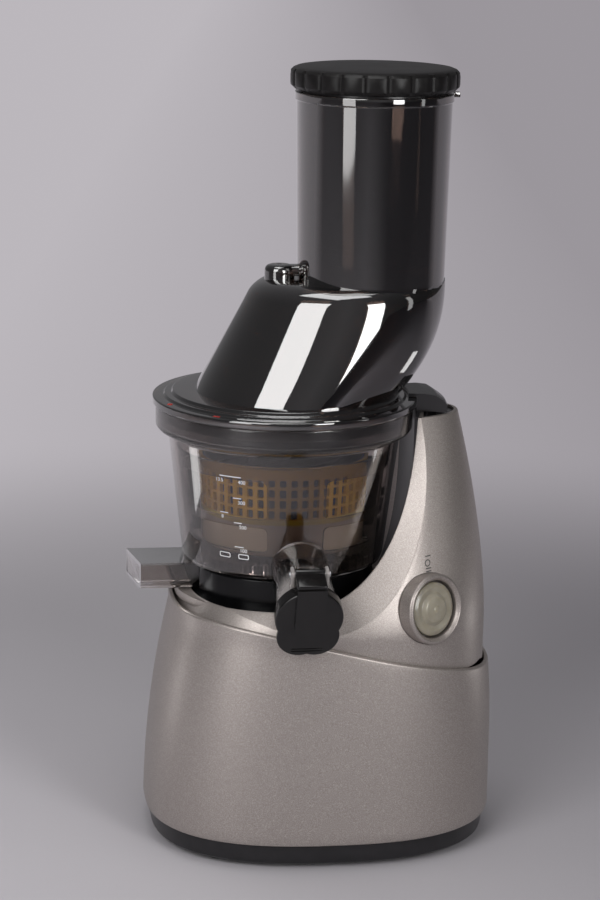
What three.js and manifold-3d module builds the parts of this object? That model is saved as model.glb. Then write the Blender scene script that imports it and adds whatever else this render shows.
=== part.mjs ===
// Vertical cold press juicer with an offset wide feed tube, in millimetres.
// +Z is up, the juice spout points to -Y, the pulp spout to -X and the tower stands at +X.
// The model is built round the bowl's axis and moved at the end, so that the origin is the
// centre of the bounding box's base.
import * as THREE from 'three';
import { mergeVertices } from 'three/addons/utils/BufferGeometryUtils.js';
import Module from 'manifold-3d';

const wasm = await Module();
wasm.setup();

// Clearances and general walls
const SEAT_GAP = 0.3;
const RUN_GAP = 0.5;
const OVERRUN = 6;
const WELD_DISTANCE = 0.0005;
const HOUSING_WALL = 2.4;
const CLEAR_WALL = 2.4;

// Housing
const BODY_LEFT = 80.5;
const BODY_RIGHT = 124;
const BODY_HALF_DEPTH = 85.5;
const BODY_LEFT_TAPER = 14.5;
const BODY_RIGHT_TAPER = 5;
const BODY_DEPTH_TAPER = 5.5;
const BODY_SQUARENESS = 2.5;
const BODY_EDGE_ROUND = 3;
const SHELL_BOTTOM = 14.5;
const SEAM_HEIGHT = 134.8;
const SEAM_LEFT_RISE = 7.7;
const SEAM_SLOPE_SHARE = 0.24;
const SEAM_LEVEL_START = 40;
const HOUSING_STEP = 2.8;
const HOUSING_TONGUE = 7;
const UPPER_HEIGHT = 116.2;
const TOWER_HEIGHT = SEAM_HEIGHT + UPPER_HEIGHT;
const TOWER_RIGHT = 101.5;
const TOWER_HALF_DEPTH = 30;
const TOWER_TOP_LEFT = 2;
const TOWER_SQUARENESS = 2;
const UPPER_RIGHT = 118.6;

// Bowl outline, which the recess and the lid follow
const BOWL_FOOT_RADIUS = 58.6;
const BOWL_TAPER = 8.4;
const BOWL_TOP_RADIUS = BOWL_FOOT_RADIUS + BOWL_TAPER;
const BOWL_FOOT_ROUND = 5.6;
const BOWL_FLOOR_RADIUS = BOWL_FOOT_RADIUS - BOWL_FOOT_ROUND;
const RIM_RISE = 4.4;
const RIM_TOP = TOWER_HEIGHT + RIM_RISE;
const RIM_HEIGHT = 13.4;
const RIM_BOTTOM = RIM_TOP - RIM_HEIGHT;
const RIM_REACH = 7.2;
const RIM_RADIUS = BOWL_TOP_RADIUS + RIM_REACH;

// Scoop, recess and dish
const DISH_RIM_RISE = 13.7;
const DISH_RIM_HEIGHT = SEAM_HEIGHT + DISH_RIM_RISE;
const DISH_MARGIN = 5.9;
const DISH_RIM_RADIUS = BOWL_FOOT_RADIUS + DISH_MARGIN;
const DISH_LIP = 1.7;
const DISH_RADIUS = DISH_RIM_RADIUS - DISH_LIP;
const DISH_FLOOR_RISE = 8.4;
const DISH_FLOOR_HEIGHT = SEAM_HEIGHT + DISH_FLOOR_RISE;
const SEAT_RISE = 14.8;
const SEAT_TOP = DISH_RIM_HEIGHT + SEAT_RISE;
const RECESS_MARGIN = 4;
const RECESS_TOP_RADIUS = RIM_RADIUS + RECESS_MARGIN;
const RECESS_FOOT_RISE = 22;
const CREASE_LIP = 1.4;
const SCOOP_WALL = 2.8;
const SCOOP_INNER_START = THREE.MathUtils.degToRad(19);
const SCOOP_OUTER_START = THREE.MathUtils.degToRad(15.5);
const SCOOP_INNER_END = THREE.MathUtils.degToRad(72);
const SCOOP_OUTER_END = THREE.MathUtils.degToRad(96);
const SCOOP_INNER_POWER_SHARE = 4.3;
const SCOOP_OUTER_POWER_SHARE = 2.3;
const LINER_WALL = 2;
const LINER_INSET = 1.6;
const TOWER_RIM_WALL = 2.2;
const TOWER_INSERT_DEPTH = 1.2;
const TOWER_INSERT_HEIGHT = 2.6;

// Base
const FOOT_LIFT = 3;
const SKIRT_INSET = 1.8;
const FOOT_RADIUS = 9;
const FOOT_PLUG_RADIUS = 4;
const FOOT_PLUG_HEIGHT = 3;
const FOOT_SPREAD_X = 62;
const FOOT_SPREAD_Y = 52;
const PLATE_CORE_HEIGHT = 5;
const SCREW_SHANK_RADIUS = 1.9;
const SCREW_HEAD_RADIUS = 3.4;
const SCREW_HEAD_HEIGHT = 2.2;
const SCREW_LENGTH = 20;
const SCREW_SPREAD_X = 82;
const SCREW_SPREAD_Y = 40;
const BOSS_RADIUS = 5;
const BOSS_HEIGHT = 22;
const VENT_COUNT = 5;
const VENT_WIDTH = 3;
const VENT_LENGTH = 34;
const VENT_PITCH = 9;

// Drive
const SHAFT_RADIUS = 6.2;
const SHAFT_RISE = 22.7;
const SHAFT_TOP = SEAT_TOP + SHAFT_RISE;
const MOTOR_X = 52;
const MOTOR_BOTTOM = 30;
const MOTOR_TOP = 84;
const STATOR_RADIUS = 38;
const ROTOR_RADIUS = 21;
const AIR_GAP = 1;
const STATOR_BORE = ROTOR_RADIUS + AIR_GAP;
const CORE_STEP = 5;
const WINDING_RADIUS = STATOR_RADIUS - CORE_STEP;
const WINDING_HEIGHT = 9;
const MOTOR_SHAFT_RADIUS = 4;
const BRACKET_THICKNESS = 3.7;
const CASE_DROP = 46.5;
const CASE_BOTTOM = SEAM_HEIGHT - CASE_DROP;
const CASE_FLOOR = 3.5;
const CASE_WALL = 3;
const CASE_HEIGHT = 39;
const COVER_THICKNESS = 4;
const FIRST_MODULE = 1.5;
const SECOND_MODULE = 2;
const PINION_TEETH = 12;
const FIRST_WHEEL_TEETH = 40;
const SECOND_WHEEL_TEETH = 36;
const GEAR_BACKLASH = 0.5;
const FIRST_GEAR_WIDTH = 8;
const SECOND_GEAR_WIDTH = 13;
const FIRST_GEAR_RISE = 7.7;
const FIRST_GEAR_BOTTOM = CASE_BOTTOM + FIRST_GEAR_RISE;
const AXLE_RADIUS = 3;
const FAN_STEP = 4;
const FAN_RADIUS = STATOR_RADIUS - FAN_STEP;
const FAN_HUB_RADIUS = 9;
const FAN_BLADES = 9;
const FAN_BLADE_HEIGHT = 6;
const FAN_BLADE_THICKNESS = 1.6;
const FAN_DISC = 1.6;
const FAN_BOTTOM = 17;
const BEARING_SECTION = 5.8;
const BEARING_RADIUS = SHAFT_RADIUS + BEARING_SECTION;
const BEARING_WIDTH = 6;
const SEAL_SECTION = 4.8;
const SEAL_RADIUS = SHAFT_RADIUS + SEAL_SECTION;
const SEAL_HEIGHT = 5;

// Electrics
const BOARD_LENGTH = 62;
const BOARD_WIDTH = 40;
const BOARD_THICKNESS = 1.6;
const BOARD_X = -32;
const BOARD_HEIGHT = 32;
const BOARD_POST_RADIUS = 4;
const BOARD_POST_INSET = 6;
const CAPACITOR_RADIUS = 8;
const CAPACITOR_HEIGHT = 22;
const GLAND_RADIUS = 7;
const GLAND_BORE = 3.4;
const GLAND_HEIGHT = 34;
const GLAND_LENGTH = 12;
const GLAND_FLANGE = 2;

// Switch
const SWITCH_X = 76.5;
const SWITCH_Y = -66.5;
const SWITCH_RISE = 14.7;
const SWITCH_Z = SEAM_HEIGHT + SWITCH_RISE;
const SWITCH_TURN = THREE.MathUtils.degToRad(33);
const SWITCH_LEAN = THREE.MathUtils.degToRad(-7);
const BEZEL_RADIUS = 20.2;
const BEZEL_BAND = 3.6;
const BEZEL_INNER_RADIUS = BEZEL_RADIUS - BEZEL_BAND;
const BEZEL_DEPTH = 10;
const BEZEL_PROUD = 5.6;
const POCKET_FLOOR = 2;
const BOOT_CLEARANCE = 1.2;
const BOOT_RADIUS = BEZEL_INNER_RADIUS - BOOT_CLEARANCE;
const BOOT_BAND = 5.9;
const BOOT_INNER_RADIUS = BOOT_RADIUS - BOOT_BAND;
const BOOT_RISE = 2.6;
const BOOT_THICKNESS = 1.2;
const ROCKER_WIDTH = 12;
const ROCKER_LENGTH = 20;
const ROCKER_THICKNESS = 2.5;
const SWITCH_WINDOW_RADIUS = 8;
const SWITCH_BODY_WIDTH = 14;
const SWITCH_BODY_LENGTH = 20;
const SWITCH_BODY_DROP = 2;
const SWITCH_BODY_DEPTH = 7;

// Seat and bowl
const SEAT_RADIUS = BOWL_FLOOR_RADIUS;
const SEAT_BORE = 15;
const BOWL_FLOOR_THICKNESS = 2.8;
const BOWL_EDGE_RISE = 5;
const BOWL_CORNER = 1;
const RIM_FLARE = 3;
const BOWL_SHOULDER_HEIGHT = RIM_BOTTOM - RIM_FLARE;
const RIM_WALL = 2.8;
const HUB_CLEARANCE = 2.4;
const HUB_BORE = SHAFT_RADIUS + HUB_CLEARANCE;
const HUB_WALL = 2.9;
const HUB_RADIUS = HUB_BORE + HUB_WALL;
const HUB_HEIGHT = 6;
const SPOUT_TILT = THREE.MathUtils.degToRad(22);
const SPOUT_X = 2.5;
const SPOUT_END_Y = -97;
const SPOUT_END_DROP = 6.8;
const SPOUT_END_Z = SEAT_TOP - SPOUT_END_DROP;
const SPOUT_RADIUS = 16.5;
const SPOUT_LENGTH = 47;
const CHANNEL_HALF_WIDTH = 16.5;
const CHANNEL_RISE = 6;
const CHANNEL_BOTTOM = DISH_FLOOR_HEIGHT + CHANNEL_RISE;
const CHANNEL_MOUTH = 90;
const CHANNEL_MOUTH_SLANT = 6;
const CHANNEL_INNER_END = 19;
const CHANNEL_ROUND = 4;
const PULP_HOLE_RADIUS = 9;
const PULP_HOLE_X = -33;
const PULP_TUBE_WALL = 2.2;

// Juice cap, in the spout's own frame: across, up and along it
const CAP_WALL = 2.5;
const CAP_RADIUS = SPOUT_RADIUS + CAP_WALL;
const CAP_SKIRT_LENGTH = 4.6;
const CAP_FACE = 3.4;
const CAP_STRAP_WIDTH = 16.4;
const CAP_STRAP_THICKNESS = 3;
const CAP_HINGE_REACH = 3.5;
const CAP_HINGE_RISE = CAP_RADIUS + CAP_HINGE_REACH;
const CAP_HINGE_BACK = 8.5;
const CAP_KNUCKLE_RADIUS = 3.4;
const CAP_PIN_RADIUS = 1.5;
const CAP_EAR_THICKNESS = 2.2;
const CAP_TAB_RADIUS = 13;
const CAP_TAB_REACH = 10;
const CAP_TAB_SPREAD = 9;
const CAP_SEAL_GAP = 1.7;
const CAP_SEAL_RADIUS = SPOUT_RADIUS - CLEAR_WALL - CAP_SEAL_GAP;
const CAP_SEAL_DEPTH = 1.5;
const CAP_SEAL_WALL = 2;

// Inside the bowl
const BOWL_MODULE = 2;
const AUGER_TEETH = 18;
const BRUSH_PINION_TEETH = 16;
const BOWL_GEAR_WIDTH = 5;
const BRUSH_FOOT_GAP = 1.3;
const BRUSH_RING_RADIUS = BOWL_FOOT_RADIUS - CLEAR_WALL - BRUSH_FOOT_GAP;
const BRUSH_TOP_GAP = 2.6;
const BRUSH_TOP_RADIUS = BOWL_TOP_RADIUS - CLEAR_WALL - BRUSH_TOP_GAP;
const BRUSH_WALL = 2;
const BRUSH_DROP = 7;
const BRUSH_TOP = BOWL_SHOULDER_HEIGHT - BRUSH_DROP;
const BRUSH_WINDOWS = 4;
const BRUSH_WINDOW_RISE = 17.7;
const BRUSH_WINDOW_BOTTOM = SEAT_TOP + BRUSH_WINDOW_RISE;
const BRUSH_WINDOW_DROP = 9;
const BRUSH_WINDOW_TOP = BRUSH_TOP - BRUSH_WINDOW_DROP;
const BRUSH_RING_SHARE = 0.4;
const BRUSH_RING_HEIGHT = BRUSH_WINDOW_BOTTOM + BRUSH_RING_SHARE * (BRUSH_WINDOW_TOP - BRUSH_WINDOW_BOTTOM);
const BRUSH_RING_BAND = 5;
const BRUSH_POST_HALF_ANGLE = THREE.MathUtils.degToRad(16);
const WIPER_THICKNESS = 2;
const STRAINER_RISE = 12.7;
const STRAINER_BOTTOM = SEAT_TOP + STRAINER_RISE;
const STRAINER_FLOOR = 2.2;
const STRAINER_DROP = 5;
const STRAINER_TOP = BRUSH_TOP - STRAINER_DROP;
const STRAINER_GAP = 8;
const STRAINER_FOOT_RADIUS = BRUSH_RING_RADIUS - STRAINER_GAP;
const STRAINER_TAPER = 2.4;
const STRAINER_TOP_RADIUS = STRAINER_FOOT_RADIUS + STRAINER_TAPER;
const STRAINER_WALL = 2.2;
const STRAINER_SLOTS = 24;
const STRAINER_BAND = 22;
const STRAINER_SLOT_BOTTOM = STRAINER_BOTTOM + STRAINER_BAND;
const STRAINER_RIM = 6;
const STRAINER_SLOT_TOP = STRAINER_TOP - STRAINER_RIM;
const STRAINER_SLOT_SHARE = 0.62;
const MESH_WALL = 0.8;
const AUGER_NECK_RADIUS = HUB_RADIUS + RUN_GAP;
const AUGER_FOOT_RADIUS = 33;
const AUGER_WAIST_RADIUS = 15;
const AUGER_FOOT_RISE = 3.5;
const AUGER_FOOT_HEIGHT = STRAINER_BOTTOM + AUGER_FOOT_RISE;
const AUGER_WAIST_DROP = 4;
const AUGER_WAIST_HEIGHT = RIM_BOTTOM - AUGER_WAIST_DROP;
const AUGER_TOP_RISE = 8;
const AUGER_TOP = RIM_BOTTOM + AUGER_TOP_RISE;
const AUGER_PIN_RADIUS = 4;
const AUGER_PIN_LENGTH = 8;
const AUGER_PIN_TOP = AUGER_TOP + AUGER_PIN_LENGTH;
const FLIGHT_RADIUS = 43;
const FLIGHT_TOP_RADIUS = 36;
const FLIGHT_TURNS = 2.25;
const FLIGHT_THICKNESS = 4.2;
const FLIGHT_STEPS_A_TURN = 14;
const BUSH_WALL = 3.3;
const BUSH_RADIUS = SHAFT_RADIUS + BUSH_WALL;
const BUSH_HEIGHT = 12;

// Lid, hopper and feed tube
const FLANGE_REACH = 2;
const FLANGE_RADIUS = RIM_RADIUS + FLANGE_REACH;
const FLANGE_HEIGHT = 4.6;
const FLANGE_SHELF = 7.2;
const LID_STEP_RADIUS = FLANGE_RADIUS - FLANGE_SHELF;
const LID_STEP_WIDTH = 4.5;
const LID_DISC_RADIUS = LID_STEP_RADIUS - LID_STEP_WIDTH;
const LID_RISE = 8.2;
const LID_DISC_TOP = RIM_TOP + LID_RISE;
const LID_STEP_DROP = 1.8;
const LID_STEP_TOP = LID_DISC_TOP - LID_STEP_DROP;
const LID_SKIRT_GAP = 0.6;
const LID_SKIRT_RADIUS = RIM_RADIUS - RIM_WALL - LID_SKIRT_GAP;
const LID_SKIRT_DEPTH = 7;
const LID_HUB_RADIUS = 10;
const LID_HUB_BORE = 6.6;
const LID_HUB_DEPTH = 8;
const HOPPER_FOOT_LEFT = -52;
const HOPPER_FOOT_RIGHT = 66;
const HOPPER_HALF_DEPTH = 58;
const HOPPER_TOP_LEFT = -17.5;
const TUBE_X = 48.6;
const TUBE_FOOT_RADIUS = 42.2;
const HOPPER_TUBE_STEP = 0.7;
const HOPPER_TOP_RIGHT = TUBE_X + TUBE_FOOT_RADIUS + HOPPER_TUBE_STEP;
const HOPPER_SIDE_STEP = 4.8;
const HOPPER_TOP_HALF_DEPTH = TUBE_FOOT_RADIUS + HOPPER_SIDE_STEP;
const HOPPER_HEIGHT = 64.4;
const HOPPER_TOP = LID_DISC_TOP + HOPPER_HEIGHT;
const HOPPER_ROUND = 9;
const TUBE_TAPER = 2;
const TUBE_TOP_RADIUS = TUBE_FOOT_RADIUS + TUBE_TAPER;
const TUBE_LENGTH = 106;
const TUBE_TOP = HOPPER_TOP + TUBE_LENGTH;
const TUBE_COLLAR_RISE = 0.8;
const TUBE_COLLAR_HEIGHT = 5;
const TUBE_TAB_WIDTH = 5;
const TUBE_TAB_REACH = 4.5;
const TUBE_TAB_HEIGHT = 3;
const BOSS_TUBE_X = -4;
const BOSS_TUBE_RADIUS = 8.6;
const BOSS_TUBE_RISE = 8;
const BOSS_TUBE_BORE = 5.4;
const FEED_EDGE = 12;
const FEED_RADIUS = 55;
const LUG_HOOK = 4.7;
const LUG_START = FLANGE_RADIUS - LUG_HOOK;
const LUG_REACH = 94;
const LUG_HALF_ANGLE = THREE.MathUtils.degToRad(11);
const LUG_GAP = 1.2;
const LUG_BOTTOM = TOWER_HEIGHT + LUG_GAP;
const LUG_HEIGHT = 10.4;
const LUG_TOP = LUG_BOTTOM + LUG_HEIGHT;
const TONGUE_SETBACK = 2.6;
const TONGUE_INNER = RECESS_TOP_RADIUS + TOWER_RIM_WALL + TONGUE_SETBACK;
const TONGUE_WIDTH = 5;
const TONGUE_OUTER = TONGUE_INNER + TONGUE_WIDTH;
const TONGUE_DEPTH = 3.4;
const TONGUE_HALF_ANGLE = THREE.MathUtils.degToRad(5);
const MAGNET_RADIUS = 3;
const MAGNET_HEIGHT = 3;

// Pusher
const PUSHER_GAP = 0.9;
const PUSHER_WALL = 2.2;
const PUSHER_RISE = 10;
const PUSHER_BOTTOM = HOPPER_TOP + PUSHER_RISE;
const CAP_SEAT_GAP = 1.2;
const CAP_BOTTOM = TUBE_TOP + CAP_SEAT_GAP;
const GRIP_HEIGHT = 13.4;
const CAP_TOP = CAP_BOTTOM + GRIP_HEIGHT;
const GRIP_REACH = 3.8;
const CAP_GRIP_RADIUS = TUBE_TOP_RADIUS + GRIP_REACH;
const CAP_LOBES = 22;
const CAP_LOBE_DEPTH = 1.5;
const CAP_DOME = 2;
const GRIP_SHOULDER = 6;
const CAP_TOP_RADIUS = CAP_GRIP_RADIUS - GRIP_SHOULDER;

// Facets
const HOUSING_SIDES = 36;
const FINE_SIDES = 28;
const MEDIUM_SIDES = 20;
const SMALL_SIDES = 12;
const TINY_SIDES = 8;

const { lerp, clamp } = THREE.MathUtils;

function material(colour, roughness, metalness) {
  return new THREE.MeshStandardMaterial({ color: colour, roughness, metalness });
}

const SILVER = [0xa79d92, 0.38, 0.75];
const BLACK = [0x141415, 0.35, 0.0];
const DARK_GREY = [0x2c2c2f, 0.5, 0.0];
const SMOKE = [0x3a2f28, 0.12, 0.0];
const AMBER = [0xb06a12, 0.3, 0.0];
const CREAM = [0xd5cfb5, 0.45, 0.0];
const STEEL = [0x8d9096, 0.35, 0.9];
const COPPER = [0xa8622c, 0.4, 0.8];
const NYLON = [0xd9d4c8, 0.5, 0.0];
const RUBBER = [0x202022, 0.8, 0.0];
const BOARD_GREEN = [0x24603a, 0.6, 0.0];

const group = new THREE.Group();

// Turns a closed geometry into a solid, with its faces pointing out
function solid(geometry) {
  geometry.deleteAttribute('normal');
  geometry.deleteAttribute('uv');
  const merged = mergeVertices(geometry, WELD_DISTANCE);
  const place = merged.getAttribute('position');
  const index = merged.getIndex();
  const triangles = [];
  let volume = 0;
  const a = new THREE.Vector3();
  const b = new THREE.Vector3();
  const c = new THREE.Vector3();
  for (let i = 0; i < index.count; i += 3) {
    const corner = [index.getX(i), index.getX(i + 1), index.getX(i + 2)];
    if (corner[0] === corner[1] || corner[1] === corner[2] || corner[2] === corner[0]) continue;
    a.fromBufferAttribute(place, corner[0]);
    b.fromBufferAttribute(place, corner[1]);
    c.fromBufferAttribute(place, corner[2]);
    volume += a.dot(b.cross(c));
    triangles.push(corner);
  }
  if (volume < 0) triangles.forEach((corner) => corner.reverse());
  return new wasm.Manifold(new wasm.Mesh({
    numProp: 3,
    vertProperties: new Float32Array(place.array),
    triVerts: new Uint32Array(triangles.flat()),
  }));
}

// Adds a named sub-part made of one solid
function add(name, finish, shape, parent = group) {
  const result = shape.getMesh();
  const geometry = new THREE.BufferGeometry();
  geometry.setAttribute('position', new THREE.BufferAttribute(result.vertProperties, result.numProp));
  geometry.setIndex(new THREE.BufferAttribute(result.triVerts, 1));
  geometry.computeVertexNormals();
  const mesh = new THREE.Mesh(geometry, material(...finish));
  mesh.name = name;
  parent.add(mesh);
  return mesh;
}

// A solid of revolution about Z from [radius, height] pairs that close on themselves or the axis
function turned(profile, sides = MEDIUM_SIDES) {
  const points = profile.map(([radius, height]) => new THREE.Vector2(radius, height));
  const closes = profile[0][0] > 0 || profile[profile.length - 1][0] > 0;
  if (closes) points.push(points[0].clone());
  const geometry = new THREE.LatheGeometry(points, sides);
  geometry.rotateX(Math.PI / 2);
  return solid(geometry);
}

function disc(radius, bottom, top, sides = MEDIUM_SIDES) {
  return turned([[0, bottom], [radius, bottom], [radius, top], [0, top]], sides);
}

function ring(inner, outer, bottom, top, sides = MEDIUM_SIDES) {
  return turned([[inner, bottom], [outer, bottom], [outer, top], [inner, top]], sides);
}

function box(x0, x1, y0, y1, z0, z1) {
  const geometry = new THREE.BoxGeometry(x1 - x0, y1 - y0, z1 - z0);
  geometry.translate((x0 + x1) / 2, (y0 + y1) / 2, (z0 + z1) / 2);
  return solid(geometry);
}

function extruded(outline, bottom, top, curveSteps = 6) {
  const geometry = new THREE.ExtrudeGeometry(outline, {
    depth: top - bottom, bevelEnabled: false, curveSegments: curveSteps,
  });
  geometry.translate(0, 0, bottom);
  return solid(geometry);
}

// A closed solid through rings of the same number of points, capped round their centres
function lofted(rings) {
  const count = rings[0].length;
  const points = rings.flat();
  const triangles = [];
  rings.slice(1).forEach((unused, level) => {
    for (let i = 0; i < count; i += 1) {
      const here = level * count + i;
      const next = level * count + ((i + 1) % count);
      triangles.push(here, next, next + count, here, next + count, here + count);
    }
  });
  const middle = (loop) => loop.reduce((sum, p) => sum.add(p), new THREE.Vector3())
    .divideScalar(count);
  points.push(middle(rings[0]), middle(rings[rings.length - 1]));
  const lowest = points.length - 2;
  const highest = points.length - 1;
  const last = (rings.length - 1) * count;
  for (let i = 0; i < count; i += 1) {
    const next = (i + 1) % count;
    triangles.push(lowest, next, i, highest, last + i, last + next);
  }
  const geometry = new THREE.BufferGeometry().setFromPoints(points);
  geometry.setIndex(triangles);
  return solid(geometry);
}

function unite(...shapes) {
  return shapes.reduce((sum, shape) => sum.add(shape));
}

// Rounded outline between left and right: 2 is an ellipse, more is squarer
function ovalRing(left, right, halfDepth, squareness, height, sides = HOUSING_SIDES) {
  const middle = (left + right) / 2;
  const halfWidth = (right - left) / 2;
  const points = [];
  for (let i = 0; i < sides; i += 1) {
    const angle = (2 * Math.PI * i) / sides;
    const c = Math.cos(angle);
    const s = Math.sin(angle);
    const x = Math.sign(c) * Math.abs(c) ** (2 / squareness);
    const y = Math.sign(s) * Math.abs(s) ** (2 / squareness);
    points.push(new THREE.Vector3(middle + halfWidth * x, halfDepth * y, height));
  }
  return points;
}

// Housing outlines: the lower shell tapers up to the seam, the upper one leans in to the tower
function lowerRing(height, inset) {
  const rise = clamp(height / SEAM_HEIGHT, 0, 1);
  const late = clamp(2 * rise - 0.9, 0, 1.1);
  const edge = clamp(1 - (height - SHELL_BOTTOM) / BODY_EDGE_ROUND, 0, 1) ** 2;
  const in0 = inset + (edge * BODY_EDGE_ROUND) / 2;
  return ovalRing(
    -BODY_LEFT + BODY_LEFT_TAPER * rise ** 2.2 + in0,
    BODY_RIGHT - BODY_RIGHT_TAPER * late ** 2 - in0,
    BODY_HALF_DEPTH - BODY_DEPTH_TAPER * rise ** 2 - in0,
    BODY_SQUARENESS,
    height,
  );
}

function upperRing(height, inset) {
  const rise = clamp((height - SEAM_HEIGHT) / (TOWER_HEIGHT - SEAM_HEIGHT), 0, 1);
  const left = -BODY_LEFT + BODY_LEFT_TAPER + HOUSING_STEP;
  const halfDepth = BODY_HALF_DEPTH - BODY_DEPTH_TAPER - HOUSING_STEP;
  return ovalRing(
    lerp(left, TOWER_TOP_LEFT, rise) + inset,
    lerp(UPPER_RIGHT, TOWER_RIGHT, rise ** 1.7) - inset,
    lerp(halfDepth, TOWER_HALF_DEPTH, rise ** 1.35) - inset,
    lerp(BODY_SQUARENESS, TOWER_SQUARENESS, rise),
    height,
  );
}

function heights(bottom, top, steps) {
  return Array.from({ length: steps + 1 }, (unused, i) => lerp(bottom, top, i / steps));
}

function seamHeight(x) {
  return SEAM_HEIGHT + Math.min(SEAM_LEFT_RISE, -SEAM_SLOPE_SHARE * x);
}

// Everything above the slanting seam, moved by a lift
function aboveSeam(lift) {
  const reach = 2 * BODY_RIGHT;
  const level = SEAM_HEIGHT + SEAM_LEFT_RISE + lift;
  const shape = new THREE.Shape();
  shape.moveTo(-reach, level);
  shape.lineTo(-SEAM_LEVEL_START - 8 * CLEAR_WALL, level);
  shape.quadraticCurveTo(-SEAM_LEFT_RISE / SEAM_SLOPE_SHARE, level, 0, SEAM_HEIGHT + lift);
  shape.lineTo(reach, SEAM_HEIGHT - SEAM_SLOPE_SHARE * reach + lift);
  shape.lineTo(reach, 2 * TOWER_HEIGHT);
  shape.lineTo(-reach, 2 * TOWER_HEIGHT);
  shape.closePath();
  const geometry = new THREE.ExtrudeGeometry(shape, {
    depth: 2 * reach, bevelEnabled: false, curveSegments: 5,
  });
  geometry.rotateX(Math.PI / 2);
  geometry.translate(0, reach, 0);
  return solid(geometry);
}

// Radius of the recess behind the bowl at a height: it narrows like the bowl's foot
function recessRadius(height) {
  const rise = clamp((height - DISH_RIM_HEIGHT) / (TOWER_HEIGHT - DISH_RIM_HEIGHT), 0, 1);
  return DISH_RIM_RADIUS + (RECESS_TOP_RADIUS - DISH_RIM_RADIUS) * (1 - (1 - rise) ** 3.4);
}

function recessProfile(shrink) {
  const levels = [0, 0.08, 0.2, 0.45, 1]
    .map((share) => lerp(DISH_RIM_HEIGHT, TOWER_HEIGHT, share));
  return levels.map((height) => [recessRadius(height) - shrink, height]);
}

// Distance from the bowl's axis to the upper housing's outline in one direction
function outlineRadius(angle) {
  const points = upperRing(SEAM_HEIGHT, 0);
  let best = RECESS_TOP_RADIUS;
  let nearest = Infinity;
  points.forEach((p) => {
    const off = Math.abs(Math.atan2(Math.abs(p.y), p.x) - angle);
    if (off < nearest) {
      nearest = off;
      best = Math.hypot(p.x, p.y);
    }
  });
  return best;
}

// The scoop's surface: from the dish's rim, out to the crease and up to the tower's top
function scoopHeight(radius, angle, grow) {
  const turnGrow = grow / RECESS_TOP_RADIUS;
  const closeness = clamp((SCOOP_INNER_END - angle) / (SCOOP_INNER_END - SCOOP_INNER_START), 0, 1);
  const inner = recessRadius(lerp(DISH_RIM_HEIGHT, TOWER_HEIGHT, closeness ** 3)) + grow;
  const outer = Math.max(outlineRadius(angle), inner + HOUSING_STEP);
  const share = clamp((radius - inner) / (outer - inner), 0, 1.5);
  const seam = seamHeight(outer * Math.cos(angle));
  const crease = Math.max(seam, SEAM_HEIGHT) + CREASE_LIP;
  const floor = lerp(DISH_RIM_HEIGHT, crease, share) - grow;
  const start = lerp(SCOOP_INNER_START, SCOOP_OUTER_START, share) - turnGrow;
  const end = lerp(SCOOP_INNER_END, SCOOP_OUTER_END, share);
  const power = lerp(SCOOP_INNER_POWER_SHARE, SCOOP_OUTER_POWER_SHARE, share);
  const along = clamp((angle - start) / (end - start), 0, 1);
  if (along === 0) return TOWER_HEIGHT + OVERRUN;
  return floor + (TOWER_HEIGHT + 1 - floor) * (1 - along) ** power;
}

function scoopCutter(grow, half = 18) {
  const angles = [];
  for (let i = 1; i <= half; i += 1) angles.push(Math.PI * (i / half) ** 1.7);
  const wheel = [...angles.slice(0, -1).map((a) => -a).reverse(), 0, ...angles];
  wheel.sort((a, b) => a - b);
  const stations = [0.75, 1, 1.13, 1.28, 1.45, 2.6].map((s) => s * DISH_RIM_RADIUS);
  const top = TOWER_HEIGHT + 2 * OVERRUN;
  const count = wheel.length;
  const points = [];
  const at = (radius, angle, z) => new THREE.Vector3(radius * Math.cos(angle), radius * Math.sin(angle), z);
  stations.forEach((r) => wheel.forEach((a) => points.push(at(r, a, scoopHeight(r, Math.abs(a), grow)))));
  const edge = stations.length * count;
  wheel.forEach((a) => points.push(at(stations[stations.length - 1], a, top)));
  points.push(new THREE.Vector3(0, 0, DISH_RIM_HEIGHT - grow), new THREE.Vector3(0, 0, top));
  const triangles = [];
  for (let i = 0; i < count; i += 1) {
    const next = (i + 1) % count;
    triangles.push(points.length - 2, next, i);
    for (let s = 0; s < stations.length; s += 1) {
      const a = s * count + i;
      const b = s * count + next;
      triangles.push(a, b, b + count, a, b + count, a + count);
    }
    triangles.push(points.length - 1, edge + i, edge + next);
  }
  const geometry = new THREE.BufferGeometry().setFromPoints(points);
  geometry.setIndex(triangles);
  const recess = [[0, DISH_RIM_HEIGHT - grow], ...recessProfile(-grow),
    [RECESS_TOP_RADIUS + grow, top], [0, top]];
  recess[1][1] -= grow;
  return solid(geometry).add(turned(recess, FINE_SIDES));
}

// The switch's frame: its Z leaves the housing's face square
const switchFrame = new THREE.Matrix4().makeTranslation(SWITCH_X, SWITCH_Y, SWITCH_Z)
  .multiply(new THREE.Matrix4().makeRotationZ(SWITCH_TURN))
  .multiply(new THREE.Matrix4().makeRotationX(Math.PI / 2 + SWITCH_LEAN));

function placed(shape, frame) {
  return shape.transform(frame.toArray());
}

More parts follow.
